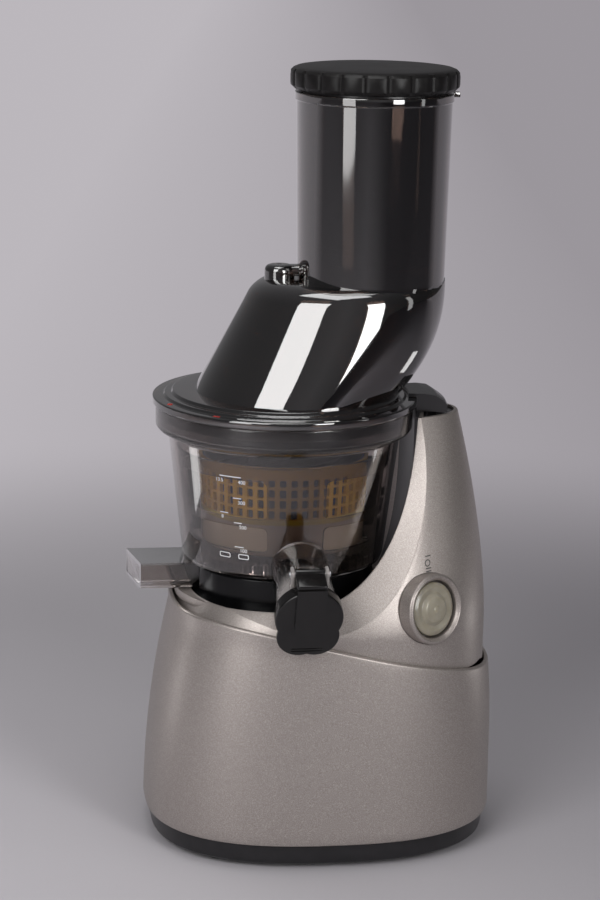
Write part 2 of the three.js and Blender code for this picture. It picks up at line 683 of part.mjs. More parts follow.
// Lower shell
function lowerShell() {
  const outerLevels = [SHELL_BOTTOM, SHELL_BOTTOM + BODY_EDGE_ROUND / 3,
    SHELL_BOTTOM + BODY_EDGE_ROUND, ...heights(SHELL_BOTTOM + 40, SEAM_HEIGHT + OVERRUN, 3),
    SEAM_HEIGHT + 3 * OVERRUN];
  const innerLevels = [SHELL_BOTTOM - OVERRUN,
    ...heights(SHELL_BOTTOM + BODY_EDGE_ROUND, SEAM_HEIGHT + OVERRUN, 3),
    SEAM_HEIGHT + 4 * OVERRUN];
  const outer = lofted(outerLevels.map((z) => lowerRing(z, 0)));
  const inner = lofted(innerLevels.map((z) => lowerRing(Math.max(z, SHELL_BOTTOM), HOUSING_WALL)
    .map((p) => p.setZ(z))));
  let shell = outer.subtract(inner).subtract(aboveSeam(0));
  const rear = BODY_HALF_DEPTH;
  const gland = disc(GLAND_RADIUS + SEAT_GAP, -GLAND_LENGTH, GLAND_LENGTH, SMALL_SIDES)
    .rotate([90, 0, 0]).translate([BODY_RIGHT / 6, rear, GLAND_HEIGHT]);
  shell = shell.subtract(gland);
  screwPlaces().forEach(([x, y]) => {
    const boss = disc(BOSS_RADIUS, SHELL_BOTTOM + SEAT_GAP, SHELL_BOTTOM + BOSS_HEIGHT, TINY_SIDES)
      .subtract(disc(SCREW_SHANK_RADIUS + SEAT_GAP, 0, SHELL_BOTTOM + BOSS_HEIGHT - 2, TINY_SIDES));
    const side = Math.sign(y) * BODY_HALF_DEPTH;
    const web = box(x - 1, x + 1, Math.min(y + Math.sign(y) * (BOSS_RADIUS - 1), side),
      Math.max(y + Math.sign(y) * (BOSS_RADIUS - 1), side), SHELL_BOTTOM + 4, SHELL_BOTTOM + BOSS_HEIGHT);
    shell = shell.add(boss.translate([x, y, 0])).add(web.intersect(outer));
  });
  return shell;
}

function middleX() {
  return (BODY_RIGHT - BODY_LEFT) / 2;
}

function screwPlaces() {
  const places = [];
  [-1, 1].forEach((side) => [-1, 1].forEach((front) => {
    places.push([middleX() + (side * SCREW_SPREAD_X) / 2, front * (SCREW_SPREAD_Y + BOSS_RADIUS + 10)]);
  }));
  return places;
}

function footPlaces() {
  return [['front_left', -1, -1], ['front_right', 1, -1], ['rear_left', -1, 1], ['rear_right', 1, 1]]
    .map(([name, side, front]) => [name, middleX() + side * FOOT_SPREAD_X, front * FOOT_SPREAD_Y]);
}

add('lower_shell', SILVER, lowerShell());

// Upper housing with the scoop, the dish, the tower's top pocket and the switch's pocket
const towerPocketBottom = TOWER_HEIGHT - TOWER_INSERT_DEPTH - TOWER_INSERT_HEIGHT;

// The arc that the lid's tongue turns in, open at the tower's rear
function tongueGroove() {
  const front = -TONGUE_OUTER * Math.sin(TONGUE_HALF_ANGLE) - RUN_GAP;
  return ring(TONGUE_INNER - RUN_GAP, TONGUE_OUTER + 2 * RUN_GAP, towerPocketBottom + SEAT_GAP + 1,
    TOWER_HEIGHT + OVERRUN, FINE_SIDES)
    .intersect(box(0, 2 * TOWER_RIGHT, front, TOWER_RIGHT, 0, 2 * TOWER_HEIGHT));
}

function upperBody() {
  const levels = [...heights(SEAM_HEIGHT - 5 * HOUSING_TONGUE, SEAM_HEIGHT, 1),
    ...heights(SEAM_HEIGHT + 14, TOWER_HEIGHT, 5)];
  const outer = lofted(levels.map((z) => upperRing(z, 0)));
  const scoop = scoopCutter(0);
  const dish = disc(DISH_RADIUS, DISH_FLOOR_HEIGHT, TOWER_HEIGHT, FINE_SIDES);
  const innerLevels = [SEAM_HEIGHT - 6 * HOUSING_TONGUE, SEAM_HEIGHT,
    ...heights(SEAM_HEIGHT + 14, towerPocketBottom - HOUSING_WALL, 3)];
  const inner = lofted(innerLevels.map((z) => upperRing(z, HOUSING_WALL)));
  const keep = scoopCutter(SCOOP_WALL, 10)
    .add(disc(DISH_RADIUS + HOUSING_WALL, DISH_FLOOR_HEIGHT - SCOOP_WALL, TOWER_HEIGHT, FINE_SIDES));
  const pocket = placed(disc(BEZEL_RADIUS + SEAT_GAP, BEZEL_PROUD - BEZEL_DEPTH, 4 * BEZEL_DEPTH), switchFrame);
  const cup = placed(
    disc(BEZEL_RADIUS + SEAT_GAP + HOUSING_WALL, BEZEL_PROUD - BEZEL_DEPTH - POCKET_FLOOR, 2 * BEZEL_DEPTH),
    switchFrame,
  ).intersect(outer);
  const window = placed(disc(SWITCH_WINDOW_RADIUS, -4 * BEZEL_DEPTH, BEZEL_DEPTH), switchFrame);
  const topPocket = lofted([towerPocketBottom, TOWER_HEIGHT + 1]
    .map((z) => upperRing(TOWER_HEIGHT, TOWER_RIM_WALL).map((p) => p.setZ(z))))
    .subtract(turned([[0, 0], [RECESS_TOP_RADIUS + TOWER_RIM_WALL, 0],
      [RECESS_TOP_RADIUS + TOWER_RIM_WALL, 2 * TOWER_HEIGHT], [0, 2 * TOWER_HEIGHT]], FINE_SIDES));
  const rearGroove = tongueGroove().intersect(box(0, 2 * TOWER_RIGHT, 0, TOWER_RIGHT, 0, 2 * TOWER_HEIGHT));
  const bore = disc(SEAL_RADIUS + SEAT_GAP, SEAM_HEIGHT - 2 * HOUSING_TONGUE, TOWER_HEIGHT, SMALL_SIDES);
  const below = outer.subtract(aboveSeam(-HOUSING_TONGUE));
  return outer.subtract(below).subtract(scoop).subtract(dish)
    .subtract(inner.subtract(keep))
    .add(cup.subtract(scoop))
    .subtract(pocket)
    .subtract(window)
    .subtract(topPocket)
    .subtract(rearGroove)
    .subtract(bore);
}

const upper = upperBody();
add('upper_body', SILVER, upper);

// Dark lining of the recess
function recessLiner() {
  const outer = recessProfile(SEAT_GAP);
  const inner = recessProfile(SEAT_GAP + LINER_WALL).reverse();
  outer[0][1] += SEAT_GAP;
  inner[inner.length - 1][1] += SEAT_GAP;
  const shell = turned([...outer, ...inner], FINE_SIDES);
  const top = TOWER_HEIGHT - SEAT_GAP;
  const cap = disc(2 * RECESS_TOP_RADIUS, top, TOWER_HEIGHT + OVERRUN);
  return shell.subtract(linerTrim()).subtract(cap);
}

function linerTrim() {
  const wedge = new THREE.Shape();
  const reach = 3 * RECESS_TOP_RADIUS;
  const angle = SCOOP_INNER_START - LINER_INSET / RECESS_TOP_RADIUS;
  wedge.moveTo(0, 0);
  wedge.lineTo(reach * Math.cos(angle), reach * Math.sin(angle));
  wedge.lineTo(-reach, reach);
  wedge.lineTo(-reach, -reach);
  wedge.lineTo(reach * Math.cos(angle), -reach * Math.sin(angle));
  wedge.closePath();
  const high = extruded(wedge, DISH_RIM_HEIGHT - OVERRUN, TOWER_HEIGHT + OVERRUN);
  return high;
}

add('recess_liner', DARK_GREY, recessLiner());

// Dark insert of the tower's top, with the arc that the lid's tongue runs in
function towerTop() {
  const bottom = towerPocketBottom + SEAT_GAP;
  const top = TOWER_HEIGHT - TOWER_INSERT_DEPTH;
  const plate = lofted([bottom, top]
    .map((z) => upperRing(TOWER_HEIGHT, TOWER_RIM_WALL + SEAT_GAP).map((p) => p.setZ(z))));
  const core = disc(RECESS_TOP_RADIUS + TOWER_RIM_WALL + SEAT_GAP, 0, 2 * TOWER_HEIGHT, FINE_SIDES);
  return plate.subtract(core).subtract(tongueGroove());
}

add('tower_top', BLACK, towerTop());

// Base plate, the dark skirt under the silver, with vents, screws and feet
function basePlate() {
  const skirt = lofted([FOOT_LIFT, SHELL_BOTTOM - SEAT_GAP].map((z) => lowerRing(SHELL_BOTTOM, SKIRT_INSET)
    .map((p) => p.setZ(z))));
  const well = lofted([FOOT_LIFT + PLATE_CORE_HEIGHT, SHELL_BOTTOM + OVERRUN]
    .map((z) => lowerRing(SHELL_BOTTOM, SKIRT_INSET + HOUSING_WALL + BODY_EDGE_ROUND).map((p) => p.setZ(z))));
  let plate = skirt.subtract(well);
  screwPlaces().forEach(([x, y]) => {
    const post = disc(BOSS_RADIUS, FOOT_LIFT + 1, SHELL_BOTTOM, TINY_SIDES).translate([x, y, 0]);
    plate = plate.add(post)
      .subtract(disc(SCREW_SHANK_RADIUS + SEAT_GAP, 0, SHELL_BOTTOM + 1, TINY_SIDES).translate([x, y, 0]))
      .subtract(disc(SCREW_HEAD_RADIUS + SEAT_GAP, 0, FOOT_LIFT + SCREW_HEAD_HEIGHT + SEAT_GAP, TINY_SIDES)
        .translate([x, y, 0]));
  });
  footPlaces().forEach(([, x, y]) => {
    plate = plate.subtract(disc(FOOT_PLUG_RADIUS + SEAT_GAP, 0, FOOT_LIFT + FOOT_PLUG_HEIGHT + SEAT_GAP, SMALL_SIDES)
      .translate([x, y, 0]));
  });
  [-1, 1].forEach((side) => [-1, 1].forEach((front) => {
    const post = disc(BOARD_POST_RADIUS, FOOT_LIFT + PLATE_CORE_HEIGHT / 2, BOARD_HEIGHT - SEAT_GAP, TINY_SIDES);
    plate = plate.add(post.translate([BOARD_X + side * (BOARD_LENGTH / 2 - BOARD_POST_INSET),
      front * (BOARD_WIDTH / 2 - BOARD_POST_INSET), 0]));
  }));
  for (let i = 0; i < VENT_COUNT; i += 1) {
    const x = MOTOR_X + (i - (VENT_COUNT - 1) / 2) * VENT_PITCH;
    plate = plate.subtract(box(x - VENT_WIDTH / 2, x + VENT_WIDTH / 2, -VENT_LENGTH / 2, VENT_LENGTH / 2,
      0, SHELL_BOTTOM));
  }
  return plate;
}

add('base_plate', BLACK, basePlate());

footPlaces().forEach(([name, x, y]) => {
  const foot = turned([[0, 0], [FOOT_RADIUS - 1, 0], [FOOT_RADIUS, 1], [FOOT_RADIUS, FOOT_LIFT - SEAT_GAP],
    [FOOT_PLUG_RADIUS, FOOT_LIFT - SEAT_GAP], [FOOT_PLUG_RADIUS, FOOT_LIFT + FOOT_PLUG_HEIGHT],
    [0, FOOT_LIFT + FOOT_PLUG_HEIGHT]], SMALL_SIDES);
  add(`foot_${name}`, RUBBER, foot).position.set(x, y, 0);
});

screwPlaces().forEach(([x, y], i) => {
  const head = FOOT_LIFT;
  const screw = turned([[0, head], [SCREW_HEAD_RADIUS, head], [SCREW_HEAD_RADIUS, head + SCREW_HEAD_HEIGHT],
    [SCREW_SHANK_RADIUS, head + SCREW_HEAD_HEIGHT], [SCREW_SHANK_RADIUS, head + SCREW_LENGTH],
    [0, head + SCREW_LENGTH]], TINY_SIDES);
  add(`base_screw_${i + 1}`, STEEL, screw).position.set(x, y, 0);
});

// Switch: ring, rubber boot, rocker and the switch behind them
function switchBezel() {
  const back = BEZEL_PROUD - BEZEL_DEPTH + SEAT_GAP;
  return turned([[BEZEL_INNER_RADIUS, back], [BEZEL_RADIUS, back], [BEZEL_RADIUS, BEZEL_PROUD - 2],
    [BEZEL_RADIUS - 0.8, BEZEL_PROUD - 0.6], [BEZEL_RADIUS - 2, BEZEL_PROUD],
    [BEZEL_INNER_RADIUS + 0.8, BEZEL_PROUD - 0.6], [BEZEL_INNER_RADIUS, BEZEL_PROUD - 2]], MEDIUM_SIDES);
}

function switchBoot() {
  const face = BEZEL_PROUD - 3;
  return turned([[0, face + BOOT_RISE], [BOOT_INNER_RADIUS - 2, face + BOOT_RISE - 0.5],
    [BOOT_INNER_RADIUS, face], [BOOT_RADIUS - 2, face + 0.8], [BOOT_RADIUS, face - 0.6],
    [BOOT_RADIUS, face - 0.6 - BOOT_THICKNESS], [BOOT_INNER_RADIUS, face - BOOT_THICKNESS - 0.6],
    [0, face - BOOT_THICKNESS - 0.6]], MEDIUM_SIDES);
}

const bootBack = BEZEL_PROUD - 3 - BOOT_THICKNESS - 0.6;
const rockerFront = bootBack - SEAT_GAP;
add('switch_bezel', SILVER, placed(switchBezel(), switchFrame));
add('switch_boot', CREAM, placed(switchBoot(), switchFrame));
add('switch_rocker', NYLON, placed(
  box(-ROCKER_WIDTH / 2, ROCKER_WIDTH / 2, -ROCKER_LENGTH / 2, ROCKER_LENGTH / 2,
    rockerFront - ROCKER_THICKNESS, rockerFront),
  switchFrame,
));
const switchBodyFront = BEZEL_PROUD - BEZEL_DEPTH - POCKET_FLOOR - SEAT_GAP;
const switchBody = box(-SWITCH_BODY_WIDTH / 2, SWITCH_BODY_WIDTH / 2,
  -SWITCH_BODY_LENGTH / 2 - SWITCH_BODY_DROP, SWITCH_BODY_LENGTH / 2 - SWITCH_BODY_DROP,
  switchBodyFront - SWITCH_BODY_DEPTH, switchBodyFront)
  .add(box(-SWITCH_BODY_WIDTH / 2 + 2, SWITCH_BODY_WIDTH / 2 - 2, -2, 2, switchBodyFront - 1,
    rockerFront - ROCKER_THICKNESS - SEAT_GAP));
add('switch_body', BLACK, placed(switchBody, switchFrame));

// Gears with straight flanks, a tooth on the direction given
function gearOutline(teeth, size, phase, hole = 0) {
  const pitch = (teeth * size) / 2;
  const tip = pitch + 0.8 * size;
  const root = pitch - 1.05 * size;
  const half = (Math.PI * size) / 4 - GEAR_BACKLASH / 2;
  const slope = Math.tan(THREE.MathUtils.degToRad(20));
  const shape = new THREE.Shape();
  for (let i = 0; i < teeth; i += 1) {
    const middle = phase + (2 * Math.PI * i) / teeth;
    const steps = [[root, -(half + 1.05 * size * slope)], [tip, -(half - 0.8 * size * slope)],
      [tip, half - 0.8 * size * slope], [root, half + 1.05 * size * slope]];
    steps.forEach(([radius, offset], corner) => {
      const angle = middle + offset / radius;
      const point = [radius * Math.cos(angle), radius * Math.sin(angle)];
      if (i === 0 && corner === 0) shape.moveTo(...point);
      else shape.lineTo(...point);
    });
  }
  shape.closePath();
  if (hole > 0) {
    const bore = new THREE.Path();
    bore.absarc(0, 0, hole, 0, 2 * Math.PI, true);
    shape.holes.push(bore);
  }
  return shape;
}

// Three gear centres: motor, intermediate and output on the bowl's axis
const firstDistance = ((PINION_TEETH + FIRST_WHEEL_TEETH) * FIRST_MODULE) / 2;
const secondDistance = ((PINION_TEETH + SECOND_WHEEL_TEETH) * SECOND_MODULE) / 2;
const middleGearX = (secondDistance ** 2 - firstDistance ** 2 + MOTOR_X ** 2) / (2 * MOTOR_X);
const middleGearY = Math.sqrt(secondDistance ** 2 - middleGearX ** 2);
const toOutput = Math.atan2(-middleGearY, -middleGearX);
const toMotor = Math.atan2(-middleGearY, MOTOR_X - middleGearX);
const toothOf = (teeth) => (2 * Math.PI) / teeth;
const secondGearBottom = FIRST_GEAR_BOTTOM + FIRST_GEAR_WIDTH + 2;
const caseTop = CASE_BOTTOM + CASE_HEIGHT;
const coverBottom = caseTop + SEAT_GAP;
const coverTop = coverBottom + COVER_THICKNESS;

// Motor
add('motor_stator', COPPER, turned([
  [STATOR_BORE, MOTOR_BOTTOM], [WINDING_RADIUS, MOTOR_BOTTOM], [WINDING_RADIUS, MOTOR_BOTTOM + WINDING_HEIGHT],
  [STATOR_RADIUS, MOTOR_BOTTOM + WINDING_HEIGHT], [STATOR_RADIUS, MOTOR_TOP - WINDING_HEIGHT],
  [WINDING_RADIUS, MOTOR_TOP - WINDING_HEIGHT], [WINDING_RADIUS, MOTOR_TOP], [STATOR_BORE, MOTOR_TOP],
], MEDIUM_SIDES)).position.set(MOTOR_X, 0, 0);

function motorRotor() {
  const pinionTop = FIRST_GEAR_BOTTOM + FIRST_GEAR_WIDTH + 1;
  const spindle = turned([[0, FAN_BOTTOM], [MOTOR_SHAFT_RADIUS, FAN_BOTTOM],
    [MOTOR_SHAFT_RADIUS, MOTOR_BOTTOM + WINDING_HEIGHT / 2], [ROTOR_RADIUS, MOTOR_BOTTOM + WINDING_HEIGHT / 2],
    [ROTOR_RADIUS, MOTOR_TOP - WINDING_HEIGHT / 2], [MOTOR_SHAFT_RADIUS, MOTOR_TOP - WINDING_HEIGHT / 2],
    [MOTOR_SHAFT_RADIUS, pinionTop], [0, pinionTop]], SMALL_SIDES);
  const pinion = extruded(gearOutline(PINION_TEETH, FIRST_MODULE, toMotor + Math.PI + toothOf(PINION_TEETH) / 2),
    FIRST_GEAR_BOTTOM - 1, pinionTop);
  return spindle.add(pinion);
}

add('motor_rotor', STEEL, motorRotor()).position.set(MOTOR_X, 0, 0);

function coolingFan() {
  const inner = MOTOR_SHAFT_RADIUS + SEAT_GAP;
  let fan = ring(inner, FAN_RADIUS, FAN_BOTTOM + FAN_BLADE_HEIGHT, FAN_BOTTOM + FAN_BLADE_HEIGHT + FAN_DISC)
    .add(ring(inner, FAN_HUB_RADIUS, FAN_BOTTOM, FAN_BOTTOM + FAN_BLADE_HEIGHT + FAN_DISC, SMALL_SIDES));
  for (let i = 0; i < FAN_BLADES; i += 1) {
    const blade = box(FAN_HUB_RADIUS + 4, FAN_RADIUS - 1, -FAN_BLADE_THICKNESS / 2, FAN_BLADE_THICKNESS / 2,
      FAN_BOTTOM, FAN_BOTTOM + FAN_BLADE_HEIGHT + FAN_DISC / 2).rotate([0, 0, (360 * i) / FAN_BLADES]);
    fan = fan.add(blade);
  }
  return fan;
}

add('cooling_fan', BLACK, coolingFan()).position.set(MOTOR_X, 0, 0);

function motorBracket() {
  const bottom = MOTOR_TOP + SEAT_GAP;
  const plate = ring(MOTOR_SHAFT_RADIUS + RUN_GAP, STATOR_RADIUS + 2, bottom, bottom + BRACKET_THICKNESS);
  const skirt = ring(STATOR_RADIUS + SEAT_GAP, STATOR_RADIUS + 2, MOTOR_TOP - 3 * WINDING_HEIGHT,
    bottom + BRACKET_THICKNESS);
  return plate.add(skirt);
}

add('motor_bracket', STEEL, motorBracket()).position.set(MOTOR_X, 0, 0);

// Gearbox: a tub round the three gear centres
function gearboxOutline(grow) {
  const big = (SECOND_WHEEL_TEETH * SECOND_MODULE) / 2 + 1.5 * SECOND_MODULE + grow;
  const middle = (FIRST_WHEEL_TEETH * FIRST_MODULE) / 2 + 2 * FIRST_MODULE + grow;
  const small = (PINION_TEETH * FIRST_MODULE) / 2 + 3 * FIRST_MODULE + grow;
  const steps = 14;
  const circle = (x, y, r) => Array.from({ length: steps }, (unused, i) => [
    x + r * Math.cos((2 * Math.PI * i) / steps), y + r * Math.sin((2 * Math.PI * i) / steps)]);
  const points = [...circle(0, 0, big), ...circle(middleGearX, middleGearY, middle), ...circle(MOTOR_X, 0, small)]
    .sort((a, b) => a[0] - b[0] || a[1] - b[1]);
  const cross = (o, a, b) => (a[0] - o[0]) * (b[1] - o[1]) - (a[1] - o[1]) * (b[0] - o[0]);
  const half = (list) => list.reduce((hull, p) => {
    while (hull.length > 1 && cross(hull[hull.length - 2], hull[hull.length - 1], p) <= 0) hull.pop();
    hull.push(p);
    return hull;
  }, []);
  const lower = half(points);
  const higher = half([...points].reverse());
  return new THREE.Shape([...lower.slice(0, -1), ...higher.slice(0, -1)]
    .map(([x, y]) => new THREE.Vector2(x, y)));
}

function gearboxCase() {
  const tub = extruded(gearboxOutline(CASE_WALL), CASE_BOTTOM, caseTop)
    .subtract(extruded(gearboxOutline(0), CASE_BOTTOM + CASE_FLOOR, caseTop + OVERRUN));
  const post = disc(AXLE_RADIUS, CASE_BOTTOM + 1, caseTop - 1, TINY_SIDES).translate([middleGearX, middleGearY, 0]);
  const cup = ring(BEARING_RADIUS + SEAT_GAP, BEARING_RADIUS + CASE_WALL, CASE_BOTTOM + 1,
    CASE_BOTTOM + CASE_FLOOR + BEARING_WIDTH, SMALL_SIDES);
  const motorHole = disc(MOTOR_SHAFT_RADIUS + RUN_GAP + FIRST_MODULE, 0, caseTop / 1.1, SMALL_SIDES)
    .translate([MOTOR_X, 0, 0]);
  return tub.subtract(motorHole).add(post).add(cup);
}

add('gearbox_case', DARK_GREY, gearboxCase());

function gearboxCover() {
  const plate = extruded(gearboxOutline(CASE_WALL), coverBottom, coverTop);
  const cup = ring(BEARING_RADIUS + SEAT_GAP, BEARING_RADIUS + CASE_WALL, coverBottom - BEARING_WIDTH,
    coverTop, SMALL_SIDES);
  return plate.add(cup.intersect(disc(2 * BEARING_RADIUS, coverBottom - BEARING_WIDTH + 1, coverTop)))
    .subtract(disc(BEARING_RADIUS + SEAT_GAP, 0, coverTop - 1.5, SMALL_SIDES))
    .subtract(disc(SHAFT_RADIUS + 2, 0, 2 * coverTop, SMALL_SIDES));
}

add('gearbox_cover', DARK_GREY, gearboxCover());

function intermediateGear() {
  const wheel = extruded(gearOutline(FIRST_WHEEL_TEETH, FIRST_MODULE, toMotor), FIRST_GEAR_BOTTOM,
    FIRST_GEAR_BOTTOM + FIRST_GEAR_WIDTH);
  const pinion = extruded(gearOutline(PINION_TEETH, SECOND_MODULE, toOutput),
    FIRST_GEAR_BOTTOM + FIRST_GEAR_WIDTH / 2, secondGearBottom + SECOND_GEAR_WIDTH + 1);
  const boss = disc(AXLE_RADIUS + 3, CASE_BOTTOM + CASE_FLOOR + SEAT_GAP, FIRST_GEAR_BOTTOM + 1, SMALL_SIDES);
  const bore = disc(AXLE_RADIUS + SEAT_GAP, 0, 2 * caseTop, SMALL_SIDES);
  return unite(wheel, pinion, boss).subtract(bore);
}

add('intermediate_gear', NYLON, intermediateGear()).position.set(middleGearX, middleGearY, 0);

function outputGear() {
  const outline = gearOutline(SECOND_WHEEL_TEETH, SECOND_MODULE,
    toOutput + Math.PI + toothOf(SECOND_WHEEL_TEETH) / 2);
  const wheel = extruded(outline, secondGearBottom, secondGearBottom + SECOND_GEAR_WIDTH);
  const relief = ring(SHAFT_RADIUS + 6, (SECOND_WHEEL_TEETH * SECOND_MODULE) / 2 - 6,
    secondGearBottom + SECOND_GEAR_WIDTH / 2, caseTop + OVERRUN, SMALL_SIDES);
  return wheel.subtract(relief).subtract(disc(SHAFT_RADIUS + SEAT_GAP, 0, 2 * caseTop, SMALL_SIDES));
}

add('output_gear', STEEL, outputGear());

// Drive shaft: round through its bearings, six-sided above the seat
function driveShaft() {
  const bottom = CASE_BOTTOM + CASE_FLOOR + SEAT_GAP;
  const round = disc(SHAFT_RADIUS, bottom, SEAT_TOP, SMALL_SIDES);
  const six = turned([[0, SEAT_TOP - 1], [SHAFT_RADIUS, SEAT_TOP - 1], [SHAFT_RADIUS, SHAFT_TOP - 2],
    [SHAFT_RADIUS - 1.6, SHAFT_TOP], [0, SHAFT_TOP]], 6);
  return round.add(six);
}

add('drive_shaft', STEEL, driveShaft());
const lowerBearingBottom = CASE_BOTTOM + CASE_FLOOR + SEAT_GAP;
add('lower_bearing', STEEL, ring(SHAFT_RADIUS + SEAT_GAP, BEARING_RADIUS, lowerBearingBottom,
  lowerBearingBottom + BEARING_WIDTH, SMALL_SIDES));
const upperBearingTop = coverTop - 1.5 - SEAT_GAP;
add('upper_bearing', STEEL, ring(SHAFT_RADIUS + SEAT_GAP, BEARING_RADIUS, upperBearingTop - BEARING_WIDTH,
  upperBearingTop, SMALL_SIDES));
add('shaft_seal', RUBBER, turned([
  [SHAFT_RADIUS + SEAT_GAP, DISH_FLOOR_HEIGHT], [SEAL_RADIUS, DISH_FLOOR_HEIGHT - 2],
  [SEAL_RADIUS, DISH_FLOOR_HEIGHT + SEAL_HEIGHT], [SEAL_RADIUS - 2, DISH_FLOOR_HEIGHT + SEAL_HEIGHT],
  [SHAFT_RADIUS + SEAT_GAP, DISH_FLOOR_HEIGHT + 2],
], SMALL_SIDES));

// Electrics
add('control_board', BOARD_GREEN, box(-BOARD_LENGTH / 2, BOARD_LENGTH / 2, -BOARD_WIDTH / 2, BOARD_WIDTH / 2,
  0, BOARD_THICKNESS).add(box(-BOARD_LENGTH / 3, -BOARD_LENGTH / 8, -BOARD_WIDTH / 3, BOARD_WIDTH / 4,
  BOARD_THICKNESS / 2, BOARD_THICKNESS + 11))).position.set(BOARD_X, 0, BOARD_HEIGHT);
add('capacitor', DARK_GREY, disc(CAPACITOR_RADIUS, 0, CAPACITOR_HEIGHT, SMALL_SIDES))
  .position.set(BOARD_X + BOARD_LENGTH / 4, 0, BOARD_HEIGHT + BOARD_THICKNESS + SEAT_GAP);

function cordGland() {
  const body = turned([[GLAND_BORE, -GLAND_LENGTH / 2], [GLAND_RADIUS, -GLAND_LENGTH / 2],
    [GLAND_RADIUS, GLAND_LENGTH / 2], [GLAND_RADIUS + GLAND_FLANGE, GLAND_LENGTH / 2],
    [GLAND_RADIUS + GLAND_FLANGE - 1, GLAND_LENGTH / 2 + GLAND_FLANGE],
    [GLAND_BORE, GLAND_LENGTH / 2 + GLAND_FLANGE]], SMALL_SIDES);
  return body.rotate([-90, 0, 0]);
}

add('cord_gland', RUBBER, cordGland())
  .position.set(BODY_RIGHT / 6, BODY_HALF_DEPTH - GLAND_LENGTH / 2 + SEAT_GAP, GLAND_HEIGHT);

add('interlock_sensor', BLACK, box(-4, 4, -7, 7, -6, 0))
  .position.set((TONGUE_INNER + TONGUE_OUTER) / 2 + 2, 0, towerPocketBottom - HOUSING_WALL - SEAT_GAP);

// Seat
const channelClear = CHANNEL_HALF_WIDTH + RUN_GAP + SEAT_GAP;
const spoutFrame = new THREE.Matrix4().makeTranslation(SPOUT_X, SPOUT_END_Y, SPOUT_END_Z)
  .multiply(new THREE.Matrix4().makeRotationX(Math.PI / 2 + SPOUT_TILT));

function bowlSeat() {
  const bottom = DISH_FLOOR_HEIGHT + SEAT_GAP;
  const base = disc(DISH_RADIUS - SEAT_GAP, bottom, DISH_RIM_HEIGHT - 1, FINE_SIDES)
    .add(disc(SEAT_RADIUS, bottom, SEAT_TOP, FINE_SIDES));
  const hollow = ring(SEAT_BORE + 3, SEAT_RADIUS - 3, bottom - 1, SEAT_TOP - 3, MEDIUM_SIDES)
    .intersect(box(-4, SEAT_RADIUS, -SEAT_RADIUS, SEAT_RADIUS, 0, 2 * SEAT_TOP));
  const channel = box(-2 * DISH_RADIUS, -CHANNEL_INNER_END + 1, -channelClear, channelClear,
    CHANNEL_BOTTOM - 1, 2 * SEAT_TOP);
  const spout = placed(disc(SPOUT_RADIUS + 1, -SPOUT_LENGTH - 1, 0, SMALL_SIDES), spoutFrame);
  const lift = spout.translate([0, 0, SPOUT_RADIUS]);
  return base.subtract(hollow.intersect(box(0, SEAT_RADIUS, -SEAT_RADIUS / 2, SEAT_RADIUS, 0, 2 * SEAT_TOP)))
    .subtract(disc(SEAT_BORE, 0, 2 * SEAT_TOP, SMALL_SIDES))
    .subtract(channel).subtract(spout).subtract(lift);
}

add('bowl_seat', BLACK, bowlSeat());

// Bowl with hub, juice spout, pulp channel and the axle of the brush pinion
const bowlBottom = SEAT_TOP + SEAT_GAP;
const bowlFloorTop = bowlBottom + BOWL_FLOOR_THICKNESS;
const bowlInnerTop = BOWL_TOP_RADIUS - CLEAR_WALL;

function bowlInside() {
  return turned([[0, bowlFloorTop], [BOWL_FOOT_RADIUS - CLEAR_WALL - BOWL_CORNER, bowlFloorTop],
    [BOWL_FOOT_RADIUS - CLEAR_WALL, bowlFloorTop + BOWL_CORNER],
    [bowlInnerTop, BOWL_SHOULDER_HEIGHT + CLEAR_WALL / 2],
    [RIM_RADIUS - RIM_WALL, RIM_BOTTOM + CLEAR_WALL], [RIM_RADIUS - RIM_WALL, RIM_TOP + OVERRUN],
    [0, RIM_TOP + OVERRUN]], FINE_SIDES);
}

function channelBlock(inset, start) {
  const half = CHANNEL_HALF_WIDTH - inset;
  const low = CHANNEL_BOTTOM + inset;
  const high = bowlBottom + BOWL_FLOOR_THICKNESS / 2 - inset;
  const r = CHANNEL_ROUND - inset / 2;
  const shape = new THREE.Shape();
  shape.moveTo(-half, high);
  shape.lineTo(-half, low + r);
  shape.quadraticCurveTo(-half, low, -half + r, low);
  shape.lineTo(half - r, low);
  shape.quadraticCurveTo(half, low, half, low + r);
  shape.lineTo(half, high);
  shape.closePath();
  const length = CHANNEL_MOUTH + OVERRUN - start;
  const geometry = new THREE.ExtrudeGeometry(shape, { depth: length, bevelEnabled: false, curveSegments: 3 });
  geometry.rotateX(Math.PI / 2);
  geometry.rotateZ(-Math.PI / 2);
  geometry.translate(-start, 0, 0);
  return solid(geometry);
}

function channelMouthCut() {
  const reach = 3 * CHANNEL_MOUTH;
  const half = CHANNEL_HALF_WIDTH;
  const shape = new THREE.Shape();
  shape.moveTo(-CHANNEL_MOUTH, half);
  shape.lineTo(-CHANNEL_MOUTH + CHANNEL_MOUTH_SLANT, -half);
  shape.lineTo(-CHANNEL_MOUTH + 2 * CHANNEL_MOUTH_SLANT, -3 * half);
  shape.lineTo(-reach, -3 * half);
  shape.lineTo(-reach, 3 * half);
  shape.lineTo(-CHANNEL_MOUTH - CHANNEL_MOUTH_SLANT, 3 * half);
  shape.closePath();
  return extruded(shape, 0, 2 * SEAT_TOP);
}

